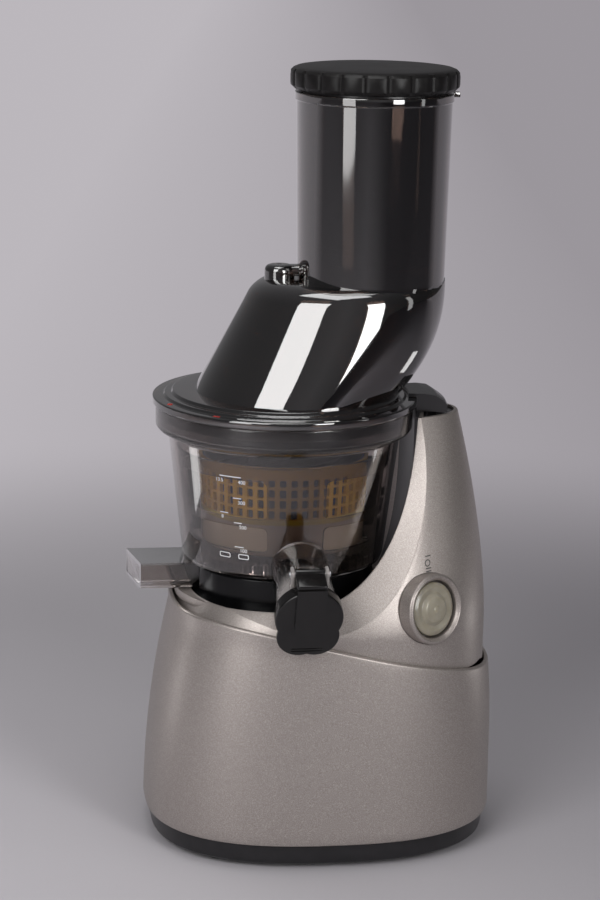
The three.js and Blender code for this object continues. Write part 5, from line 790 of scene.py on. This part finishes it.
def bowl_seat():
    low, flange, top, over = 143.5, 147.5, 163.3, 326
    seat = join(disc(62.5, low, flange, 160, 0.8),
                revolve([(0, low), (53, low), (53, top, 1.2), (0, top)], 160))
    hollow = keep(ring(18, 50, 142, 160.3, 96), block(0, 53, -26.5, 53, 0, over))
    seat = cut(seat, hollow, disc(15, 0, over, 96), block(-130, -18, -17.3, 17.3, 148.2, over))
    return cut(seat, disc(17.5, -48, 0, 96, 0, SPOUT), disc(17.5, -48, 0, 96, 0, LIFT @ SPOUT))


piece(bowl_seat(), "seat_ring", SEAT, "base", ["bowl_seat"])


def bowl_r(z):
    return lerp(BOWL_FOOT_R, BOWL_WALL_R, (z - BOWL_FOOT) / (BOWL_WALL_TOP - BOWL_FOOT))


def channel(inset, start):
    half, low, high, r = 16.5 - inset, 149.2 + inset, 165.0 - inset, 4 - inset / 2
    lay = Matrix(((0, 0, -1, 0), (1, 0, 0, 0), (0, 1, 0, 0), (0, 0, 0, 1)))
    return prism([(-half, high), (-half, low, r), (half, low, r), (half, high)], start, 96, 8, lay)


def bowl():
    outside = [(0, BOWL_FLOOR), (53, BOWL_FLOOR, 2), (57.2, 165.2, 1.5), (BOWL_FOOT_R, BOWL_FOOT, 2),
               (BOWL_WALL_R, BOWL_WALL_TOP, 2), (73.2, 242, 1.2), (74.2, 243.6, 1), (74.2, BOWL_TOP, 0.9),
               (0, BOWL_TOP)]
    mouth = prism([(-90, 16.5), (-84, -16.5), (-78, -49.5), (-270, -49.5), (-270, 49.5), (-96, 49.5)], 0, 327)
    spout = revolve([(0, -47), (16.5, -47), (16.5, 0, 0.7), (0, 0)], 128, 4, SPOUT)
    shell = join(revolve(outside, 192), spout, cut(channel(0, 19), mouth))
    shell = cut(shell, revolve([(0, 166.4), (55.2, 166.4, 1), (56.2, 167.4, 1), (64.6, 240.2, 3),
                                (71.4, 244.4, 1.5), (71.4, 261.4), (0, 261.4)], 192))
    ears = [block(a, b, 9.5, 25.9, -11.9, -5.1, 0.8, SPOUT) for a, b in ((-10.7, -8.5), (8.5, 10.7))]
    pulp = move(-33, 0)
    tubes = [disc(11.2, BOWL_FLOOR, 175.7, 96, 0.4, pulp), disc(3, BOWL_FLOOR, 173.4, 32, 0.6, move(34, 0)),
             disc(11.5, BOWL_FLOOR, 172.4, 96, 0.4)]
    shell = join(shell, *ears, *tubes)
    hollow = cut(channel(2.4, 21.4), revolve([(0, BOWL_FLOOR), (53, BOWL_FLOOR), (57.2, 165.2),
                                              (BOWL_FOOT_R, BOWL_FOOT), (60, 200), (0, 200)], 192))
    pin = disc(1.8, -22, 22, 40, 0, SPOUT @ HINGE)
    return cut(shell, disc(14.1, -44.6, 6, 128, 0, SPOUT), hollow, disc(9, 161.2, 176, 96, 0, pulp),
               disc(8.6, 0, ABOVE, 96), pin)


piece(bowl(), "clear_bowl", SMOKE, "bowl_unit", ["bowl"], 35)


# Scale on the bowl, wrapped round its wall
def wrap(ob, angle, z):
    lift = 0.12
    for v in ob.data.vertices:
        h = z + v.co.y
        r = bowl_r(h) + lift + v.co.z
        a = rad(angle) + v.co.x / r
        v.co = polar(r, a, h)
    return ob


def tick(a0, a1, z):
    width, height = rad(a1 - a0) * bowl_r(z), 0.5
    parts = max(2, int(width))
    edge = [(width * k / parts, -height / 2) for k in range(parts + 1)]
    edge += [(x, height / 2) for x, _ in reversed(edge)]
    return wrap(prism(edge, -0.06, 0.06), a0, z)


def number(text, angle, z):
    data = bpy.data.curves.new("label", "FONT")
    data.body = text
    data.size = 3.0
    data.extrude = 0.06
    data.align_x = "CENTER"
    ob = add("label", data)
    bpy.context.view_layer.update()
    me = evaluated(ob)
    bpy.data.objects.remove(ob)
    return wrap(add("label", me), angle, z)


def merge(obs):
    """One mesh from several that don't touch."""
    bm = bmesh.new()
    for o in obs:
        bm.from_mesh(o.data)
    out = obs[0]
    bm.to_mesh(out.data)
    bm.free()
    for o in obs[1:]:
        bpy.data.objects.remove(o)
    return out


def outlined(a0, a1, z0, z1):
    w, h, t = rad(a1 - a0) * bowl_r(z0), z1 - z0, 0.45
    outer = prism([(0, 0, 1), (w, 0, 1), (w, h, 1), (0, h, 1)], -0.06, 0.06, 4)
    inner = prism([(t, t, 0.7), (w - t, t, 0.7), (w - t, h - t, 0.7), (t, h - t, 0.7)], -1, 1, 4)
    return wrap(cut(outer, inner), a0, z0)


TICKS = ((-130.5, -118.7, 225.4), (-123.5, -118.9, 212.9), (-131.4, -126.6, 203.6), (-123.6, -119, 198.2),
         (-123.7, -118.4, 183.8))
NUMBERS = (("13.5", -130.8, 221.8), ("400", -118.4, 221.6), ("300", -118.9, 209.4), ("8", -130.2, 200.1),
           ("200", -118.6, 194.8), ("100", -118.7, 180.7))
marks = [tick(*t) for t in TICKS]
marks += [outlined(a0, a1, 176.6, 179.6) for a0, a1 in ((-133.5, -126.6), (-121.8, -115.7))]
marks += [number(*n) for n in NUMBERS]
piece(merge(marks), "bowl_scale", WHITE_PRINT, "bowl_unit")


# Juice cap
def juice_cap():
    cup = revolve([(0, 0.3), (17.2, 0.3, 0.5), (17.2, -4.6), (19, -4.6, 0.4), (19, 3.7, 1.6), (0, 3.7)],
                  128, 6)
    half = 8.2
    arc = [(half * math.cos(a), -4 + half * math.sin(a)) for a in (rad(180 + 6 * k) for k in range(1, 30))]
    tongue = prism([(-half, 22.5), (-half, -4), *arc, (half, -4), (half, 22.5)], 2.4, 6.4)
    bridge = cut(block(-half, half, 17, 24.9, -8.5, 5.4, 0.9), disc(17.2, -26, 0.3, 128))
    knuckle = disc(3.4, -half, half, 64, 0.4, HINGE)
    tabs = [disc(13, 0.8, 3.7, 96, 0.8, move(s * 4.5, -12)) for s in (-1, 1)]
    ribs = [block(-9, 9, -21 - 1.6 * k, -20.2 - 1.6 * k, 3.2, 4.2, 0.25) for k in range(2)]
    cap = cut(join(cup, tongue, bridge, knuckle, *tabs, *ribs), disc(1.8, -19, 19, 40, 0, HINGE))
    cap.data.transform(SPOUT)
    return cap


piece(juice_cap(), "spout_cap", CAP_BLACK, "cap_unit", ["juice_cap"], 30)


# Brush frame
def dense(points, step=2.5):
    out = []
    for i, p in enumerate(points):
        q = points[(i + 1) % len(points)]
        n = max(1, int(math.hypot(q[0] - p[0], q[1] - p[1]) / step))
        out += [(lerp(p[0], q[0], k / n), lerp(p[1], q[1], k / n)) for k in range(n)]
    return out


def window(middle, half, z0, z1, corner, r0, r1, at):
    w = rad(half) * at
    pts = dense(rounded([(-w, z0, corner), (w, z0, corner), (w, z1, corner), (-w, z1, corner)], 5))
    return loft([[polar(r, rad(middle) + s / at, z) for s, z in pts] for r in (r0, r1)])


def teeth_outline(teeth, size, phase, inner=False):
    pitch, slope, play = teeth * size / 2, math.tan(rad(20)), 0.25
    half = math.pi * size / 4 + (play if inner else -play)
    steps = [(-1.05, 1), (0.8, -1)] if not inner else [(-0.8, 1), (1.05, -1)]
    out = []
    for i in range(teeth):
        m = phase + TAU * i / teeth
        near_painted_light, far_painted_light = ((pitch + d * size, half + abs(d) * size * slope * s) for d, s in steps)
        for r, o in ((near_painted_light[0], -near_painted_light[1]), (far_painted_light[0], -far_painted_light[1]), (far_painted_light[0], far_painted_light[1]), (near_painted_light[0], near_painted_light[1])):
            out.append(polar(r, m + o / r))
    return out


def brush_r(z):
    return lerp(54.9, 62, (z - BRUSH_LOW) / (BRUSH_TOP - BRUSH_LOW))


def strainer_r(z):
    return lerp(46.9, 49.3, (z - STRAINER_LOW) / (STRAINER_TOP - STRAINER_LOW))


def brush_frame():
    low, top = brush_r(BRUSH_LOW), brush_r(BRUSH_TOP)
    cage = revolve([(low, BRUSH_LOW), (top, BRUSH_TOP, 0.7), (top - 2, BRUSH_TOP, 0.7),
                    (low - 2, BRUSH_LOW)], 192)
    cage = join(cage, ring(46, 54.6, BRUSH_LOW, 172.4, 160, 0.4))
    pinion_tooth = (math.pi + TAU / 32) % (TAU / 16)
    cage = cut(cage, prism(teeth_outline(50, 2, pinion_tooth * 16 / 50, True), 160, 180))
    holes = [window(45 + 90 * i, 29, a, b, 3.5, 40, 95, 58) for i in range(4)
             for a, b in ((181, 195.5), (200.5, 223))]
    return cut(cage, merge(holes))


piece(brush_frame(), "brush_cage", FRAME_GREY, "brush_unit", ["brush_frame"], 30)
for name, side in (("brush_wiper_right", 0), ("brush_wiper_left", 180)):
    low, top = 181, 223
    flat = [(strainer_r(low) + 0.5, low), (brush_r(low) - 2.3, low, 1), (brush_r(top) - 2.3, top, 1),
            (strainer_r(top) + 0.5, top)]
    blade = prism(flat, -1, 1, 5, turn(side, "Z") @ turn(90, "X"))
    piece(blade, "blade_" + name[6:], RUBBER, "brush_unit", [name])


# Strainer
def strainer():
    low, top, wall, floor = STRAINER_LOW, STRAINER_TOP, 2.2, STRAINER_LOW + 2.2
    body = revolve([(13.5, low), (strainer_r(low), low, 1.2), (strainer_r(top), top, 0.8),
                    (strainer_r(top) - wall, top, 0.5), (strainer_r(178) - wall, floor, 0.8),
                    (13.5, floor)], 192)
    rows = [(198.2, 203.1), (204.3, 209.3), (210.5, 215.5), (216.7, 221)]
    holes = [window(7.5 * i, 2.15, a, b, 0.8, 30, 62, 48) for i in range(48) for a, b in rows]
    body = cut(body, merge(holes))
    return cut(body, disc(8, 0, 179.2, 64, 0, move(-33, 0)))


piece(strainer(), "strainer_cage", AMBER, "bowl_unit", ["strainer_frame"], 30)
top_r, low_r = strainer_r(226) - 2.5, strainer_r(178.5) - 2.5
sieve = revolve([(low_r - 0.8, 178.5), (low_r, 178.5), (top_r, 226), (top_r - 0.8, 226)], 160)
piece(sieve, "strainer_sieve", SIEVE, "bowl_unit", ["strainer_mesh"])


# Auger
def flight():
    turns, steps = 2.25, 150
    verts, faces = [], []
    section = [(0, 0), (0.85, 0.35), (1, 1.1), (1, 3.1), (0.85, 3.85), (0, 4.2)]
    n = len(section)
    for i in range(steps + 1):
        share = i / steps
        a = TAU * turns * share
        z = lerp(180.5, 237.8, share ** 1.25)
        limit = strainer_r(min(z, STRAINER_TOP)) - 2.5 - 0.8 - 0.5
        tip = min(lerp(43, 36, clamp((share - 0.6) / 0.4)), limit)
        for s, h in section:
            r = lerp(7.5, tip, s) if s < 1 else tip
            r = tip - 1.2 if s == 0.85 else r
            verts.append(polar(r, a, z + h))
        if i < steps:
            faces += [(i * n + k, i * n + (k + 1) % n, (i + 1) * n + (k + 1) % n, (i + 1) * n + k)
                      for k in range(n)]
    faces += [tuple(range(n)), tuple(steps * n + k for k in range(n))]
    return cut(make(verts, faces), disc(12, 0, 179.5, 64))


def auger():
    core = revolve([(0, 172.4), (12, 172.4), (12, 179.5), (33, 179.5, 1), (33, 184.5, 3), (29, 195.5, 8),
                    (20, 224, 12), (15, 238, 6), (8, 250, 3), (4, 250, 0.6), (4, 258, 0.8), (0, 258)], 128, 6)
    body = join(core, flight(), prism(teeth_outline(18, 2, 0), 167.4, 172.4), disc(14, 171.9, 175, 64))
    return cut(body, disc(12, 0, 172.9, 96), disc(9.8, 0, 189.2, 96))


piece(auger(), "auger_screw", AUGER_DARK, "auger_unit", ["auger"], 35)


# Lid, hopper and feed tube
def copy_of(ob):
    return add("copy", ob.data.copy())


def hopper_ring(z, inset, at=None):
    rise = clamp((z - LID_TOP) / (HOPPER_TOP - LID_TOP))
    swell = 1 - (1 - rise) ** 2.4
    round_off = HOPPER_TOP - HOPPER_SHOULDER
    shoulder = clamp((z - HOPPER_SHOULDER) / round_off)
    tuck = round_off * (1 - math.sqrt(1 - shoulder ** 2)) + inset
    left = lerp(-52, -17.5, rise) + tuck
    right = lerp(66, 91.5, swell) - inset
    half = lerp(58, 47, rise) - tuck
    return oval((left, right, half, 2.05), z if at is None else at, 160)


def tube_r(z):
    return lerp(TUBE_FOOT_R, 44.2, (z - HOPPER_TOP) / (TUBE_TOP - HOPPER_TOP))


def lid_hopper():
    low, high, top = LID_TOP, HOPPER_SHOULDER, TUBE_TOP
    levels = [lerp(low, high, k / 12) for k in range(13)]
    levels += [high + (HOPPER_TOP - high) * math.sin(rad(90) * k / 8) for k in range(1, 9)]
    hopper = loft([hopper_ring(z, 0, low - 1 if z < low + 0.1 else None) for z in levels])
    inside = loft([hopper_ring(z, 2.4) for z in levels[:-3]] + [hopper_ring(325.6, 2.4)])
    at_tube = move(TUBE_X, 0)
    tube = revolve([(0, high), (TUBE_FOOT_R, high), (TUBE_FOOT_R, HOPPER_TOP, 2), (tube_r(429), 429, 0.4),
                    (45, 429.6, 0.3), (45, top, 0.6), (0, top)], 160, 4, at_tube)
    bore = revolve([(0, high), (39.8, high), (41.8, 435), (0, 435)], 160, 4, at_tube)
    tab = block(TUBE_X + 43.2, TUBE_X + 48.7, -2.5, 2.5, 431, top, 0.5)
    lid = revolve([(68.4, 248.4), (70.8, 248.4, 0.4), (70.8, 255.7), (75.4, 255.7), (76.2, 256.5, 0.6),
                   (76.2, 260.3, 1.1), (70, 260.3, 0.8), (69, 261.8, 0.5), (65.5, 261.8, 0.6),
                   (64.5, low, 0.7), (0, low), (0, 259.6), (68.4, 257.6)], 192)
    hub = disc(10, 251.6, 260.6, 96, 0.4)
    feed = keep(disc(55, 0, 264.1, 160), block(12, 110, -55, 55, 0, ABOVE))
    boss = join(revolve([(0, high), (8.6, high), (8.6, 336, 4.5), (0, 336, 2)], 96, 8, move(-4, 0)),
                block(-4, 9.5, -5.2, 5.2, 329.5, 335.6, 2.4))
    body = join(lid, hub, hopper, tube, tab, cut(boss, copy_of(inside)))
    return cut(body, inside, bore, feed, disc(6.6, 0, 261.6, 96))


piece(lid_hopper(), "clear_hopper", SMOKE_DARK, "lid_unit", ["lid_hopper"], 32)


# Lug on the lid
def sector(inner, outer, half, bottom, top):
    arc = [rad(lerp(-half, half, k / 16)) for k in range(17)]
    return prism([polar(outer, a) for a in arc] + [polar(inner, a) for a in reversed(arc)], bottom, top)


def lid_lug():
    shell = join(sector(76.5, 94, 11, 252.2, 262.6), sector(71.5, 78.5, 11, 260.6, 262.6))
    shell = keep(shell, revolve([(0, 246), (95, 246), (95, 254.2, 2), (93, 258, 3), (87.5, 261.6, 4),
                                 (81, 262.6, 3), (0, 262.6)], 192, 6))
    shell = join(shell, sector(83, 88, 5, 248.8, 253.2))
    at_magnet = move(85.5, 0)
    return cut(shell, disc(3.3, 255.2, 258.5, 40, 0, at_magnet), disc(1, 240, 256.2, 24, 0, at_magnet))


piece(lid_lug(), "lid_latch", LUG_BLACK, "lid_unit", ["lid_lug"], 30)
flange_dot = disc(1.5, 260.2, 260.5, 32, 0, move(-68.3, -24))
flange_mark = prism([polar(73, rad(a)) for a in (-130.4, -129.2, -128, -127.2)]
                    + [polar(71.4, rad(a)) for a in (-127.2, -128.8, -130.4)], 260.2, 260.45)
piece(merge([flange_dot, flange_mark]), "lid_marks", RED_PRINT, "lid_unit")


# Pusher and its cap
def pusher_r(z):
    return tube_r(z) - 3.3


def pusher_body():
    low, high = PUSHER_LOW, pusher_r(PUSHER_TOP)
    groove, groove_top = 346, 349.4
    return revolve([(0, low), (pusher_r(low) - 3, low, 1.5), (pusher_r(341), 341, 1.5),
                    (pusher_r(groove), groove), (pusher_r(groove) - 1.2, groove),
                    (pusher_r(groove) - 1.2, groove_top),
                    (pusher_r(groove_top), groove_top), (high, PUSHER_TOP - 1), (high, PUSHER_TOP + 4),
                    (high - 2.2, PUSHER_TOP + 4), (pusher_r(low) - 3.2, 343.2, 2), (0, 343.2)],
                   160, 5, move(TUBE_X, 0))


def pusher_cap():
    high, lobes = pusher_r(PUSHER_TOP), 22
    prof = [(44.6, PUSHER_TOP), (45.4, 435.5), (47.6, 437.6), (48.3, 439.2), (48.4, 441), (48.3, 443.4),
            (47.6, 445.4), (46.2, 446.8), (44.2, 447.6), (42, 447.9), (36, 448.25), (24, 448.5), (10, 448.6)]
    sides = lobes * 16
    rings = []
    for r, z in prof:
        level = []
        for i in range(sides):
            a = TAU * i / sides
            lobe = 48 - 1.5 * (1 - abs(math.cos(lobes / 2 * a)) ** 0.5)
            level.append(polar(min(r, lobe), a, z))
        rings.append(level)
    cap = loft(rings)
    cap = cut(cap, ring(high - 2.5, high + 0.3, 420, 439.5, 160), disc(high - 4.2, 420, 443.6, 128))
    cap.data.transform(move(TUBE_X, 0))
    return cap


piece(pusher_body(), "pusher_tumbler", PUSHER, "pusher_unit", ["pusher_body"], 32)
piece(pusher_cap(), "pusher_grip", GRIP_BLACK, "pusher_unit", ["pusher_cap"], 24)


# Marks over the switch, laid on the housing
def stick(ob, target):
    """Lays flat marks, drawn on the switch's plane, on the housing behind them."""
    inv = TO_FRAME.inverted()
    tree = BVHTree.FromPolygons([inv @ v.co for v in target.data.vertices],
                                [tuple(p.vertices) for p in target.data.polygons])
    eye = inv @ SCENE.camera.matrix_world.translation
    for v in ob.data.vertices:
        flat = SWITCH @ Vector((v.co.x, v.co.y, 0))
        hit, normal = tree.ray_cast(eye, (flat - eye).normalized())[:2]
        v.co = hit + normal * (0.12 + 0.1 * v.co.z)


def bar(y):
    return prism(dense([(-2, y - 0.35), (2, y - 0.35), (2, y + 0.35), (-2, y + 0.35)], 0.5), -0.5, 0.5)


circle = ring(1.5, 2.1, -0.5, 0.5, 48, 0, move(-0.5, 26.4))
switch_marks = merge([bar(30.4), circle, bar(23.3), bar(21.6)])
stick(switch_marks, bpy.data.objects["housing_upper"])
piece(switch_marks, "switch_marks", GREY_PRINT, "base")

# Materials of the plain nodes kept from the frame
CARRIED = {
    NYLON: ("switch_rocker", "intermediate_gear", "brush_pinion", "top_bush"),
    DARK_BOX: ("switch_body", "cooling_fan", "gearbox_case", "gearbox_cover", "capacitor",
               "interlock_sensor"),
    COPPER: ("motor_stator",),
    STEEL: ("motor_bracket", "motor_rotor", "output_gear", "drive_shaft", "lower_bearing", "upper_bearing",
            "cap_hinge_pin", "auger_bush", "lid_magnet"),
    RUBBER: ("shaft_seal", "cord_gland", "hub_seal", "pulp_packing", "cap_seal", "lid_gasket",
             "pusher_seal"),
    BOARD: ("control_board",),
}
for material, names in CARRIED.items():
    for name in names:
        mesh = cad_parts[name].data
        mesh.materials.clear()
        mesh.materials.append(material)


# Lights, floor and world
def area(name, at, target, size, power, diffuse=True):
    data = bpy.data.lights.new(name, "AREA")
    data.shape = "RECTANGLE"
    data.size, data.size_y = size
    data.energy = power
    ob = add(name, data)
    ob.location = at
    ob.rotation_euler = (Vector(target) - Vector(at)).to_track_quat("-Z", "Y").to_euler()
    ob.visible_camera = False
    ob.visible_diffuse = diffuse


def seen_directly(t, share, behind):
    """A share for camera rays, and behind the object for mirror and see-through rays too."""
    path = t.nodes.new("ShaderNodeLightPath").outputs
    both = maths(t, "MAXIMUM", path["Is Glossy Ray"], path["Is Transmission Ray"])
    back = maths(t, "MULTIPLY", both, behind)
    return maths(t, "MULTIPLY", maths(t, "MAXIMUM", path["Is Camera Ray"], back), share)


def mixed(t, share, first, second):
    blend = t.nodes.new("ShaderNodeMixShader")
    for socket, source in zip(blend.inputs, (share, first, second)):
        t.links.new(source, socket)
    return blend.outputs[0]


def backdrop():
    """Wide pale floor with painted light, lighter on the left and darker on the right, that turns away from
    the object into a soft grey glow with the same painted falloff, in metres.
    """
    reach, sides, near_half, far_half, shadow_end, even_from = 14, 96, 0.45, 0.38, 0.42, 1.0
    m, t, p = shader("backdrop_paper", (0.46, 0.44, 0.47), 0.9, Specular_IOR_Level=0.0)
    spot, split = place(t)
    # Painted light: the floor's colour runs from light on the left to dark on the right, as if lamps fall off
    # across it.
    near_painted_light = ramp(t, span(t, split["X"], -near_half, near_half),
                [(0.0, (0.72, 0.69, 0.73)), (0.45, (0.52, 0.50, 0.525)), (1.0, (0.30, 0.285, 0.31))])
    mix = t.nodes.new("ShaderNodeMix")
    mix.data_type = "RGBA"
    mix.blend_type = "MULTIPLY"
    mix.inputs["Factor"].default_value = 0.06
    plug(near_painted_light, mix, 6)
    plug(grain(t, 900, 4.0), mix, 7)
    plug(mix.outputs[2], p, "Base Color")
    vector = "ShaderNodeVectorMath"
    # Painted light: the far glow is painted lighter on the left and darker on the right.
    aside = maths(t, "DOT_PRODUCT", spot, (0.990, -0.139, 0.0), kind=vector)
    far_painted_light = ramp(t, span(t, aside, -far_half, far_half),
               [(0.0, (0.50, 0.475, 0.505)), (1.0, (0.325, 0.305, 0.33))])
    even = span(t, maths(t, "LENGTH", spot, kind=vector), shadow_end, even_from, curve="SMOOTHSTEP")
    glow = t.nodes.new("ShaderNodeEmission")
    plug(far_painted_light, glow, "Color")
    share = seen_directly(t, even, span(t, split["Y"], 0.0, 0.5))
    plug(mixed(t, share, p.outputs[0], glow.outputs[0]), t.nodes["Material Output"], "Surface")
    me = bpy.data.meshes.new("backdrop")
    me.from_pydata([polar(reach, TAU * k / sides, 0) for k in range(sides)], [], [tuple(range(sides))])
    me.materials.append(m)
    ob = add("backdrop", me)


backdrop()
area("key_upper", (-0.80, -1.02, 1.02), (0, 0, 0.52), (0.82, 0.85), 10.4)
area("key_lower", (-0.95, -0.95, 0.38), (0, 0, 0.38), (0.45, 0.60), 2.1)
area("right_front", (0.62, -1.25, 0.62), (0, 0, 0.25), (0.40, 0.70), 8.0)
area("right_strip", (1.05, -0.50, 0.60), (0, 0, 0.35), (0.12, 0.80), 0.4)
area("top", (-0.1, -0.05, 1.6), (0, 0, 0.2), (0.9, 0.6), 5.5)
area("low_left", (-0.47, 0.155, 0.04), (-0.05, -0.03, 0.21), (0.10, 0.07), 0.05, False)
area("low_right", (0.49, 0.09, 0.045), (0.046, -0.043, 0.21), (0.10, 0.07), 0.05, False)


def studio_world():
    """Grey light that is darker from the right, under an even grey sky for the camera."""
    world = bpy.data.worlds.new("studio")
    SCENE.world = world
    world.use_nodes = True
    t = world.node_tree
    light = t.nodes["Background"]
    r = ramp(t, span(t, place(t, "Generated")[1]["X"], -1, 1),
             [(0.0, (0.26, 0.255, 0.265)), (0.5, (0.50, 0.49, 0.51)), (0.75, (0.22, 0.215, 0.225)),
              (1.0, (0.10, 0.098, 0.10))])
    plug(r, light, "Color")
    light.inputs["Strength"].default_value = 0.42
    sky = t.nodes.new("ShaderNodeBackground")
    sky.inputs["Color"].default_value = (0.41, 0.39, 0.415, 1)
    path = t.nodes.new("ShaderNodeLightPath")
    both = mixed(t, path.outputs["Is Camera Ray"], light.outputs[0], sky.outputs[0])
    plug(both, t.nodes["World Output"], "Surface")


studio_world()
SCENE.view_settings.view_transform = "Standard"
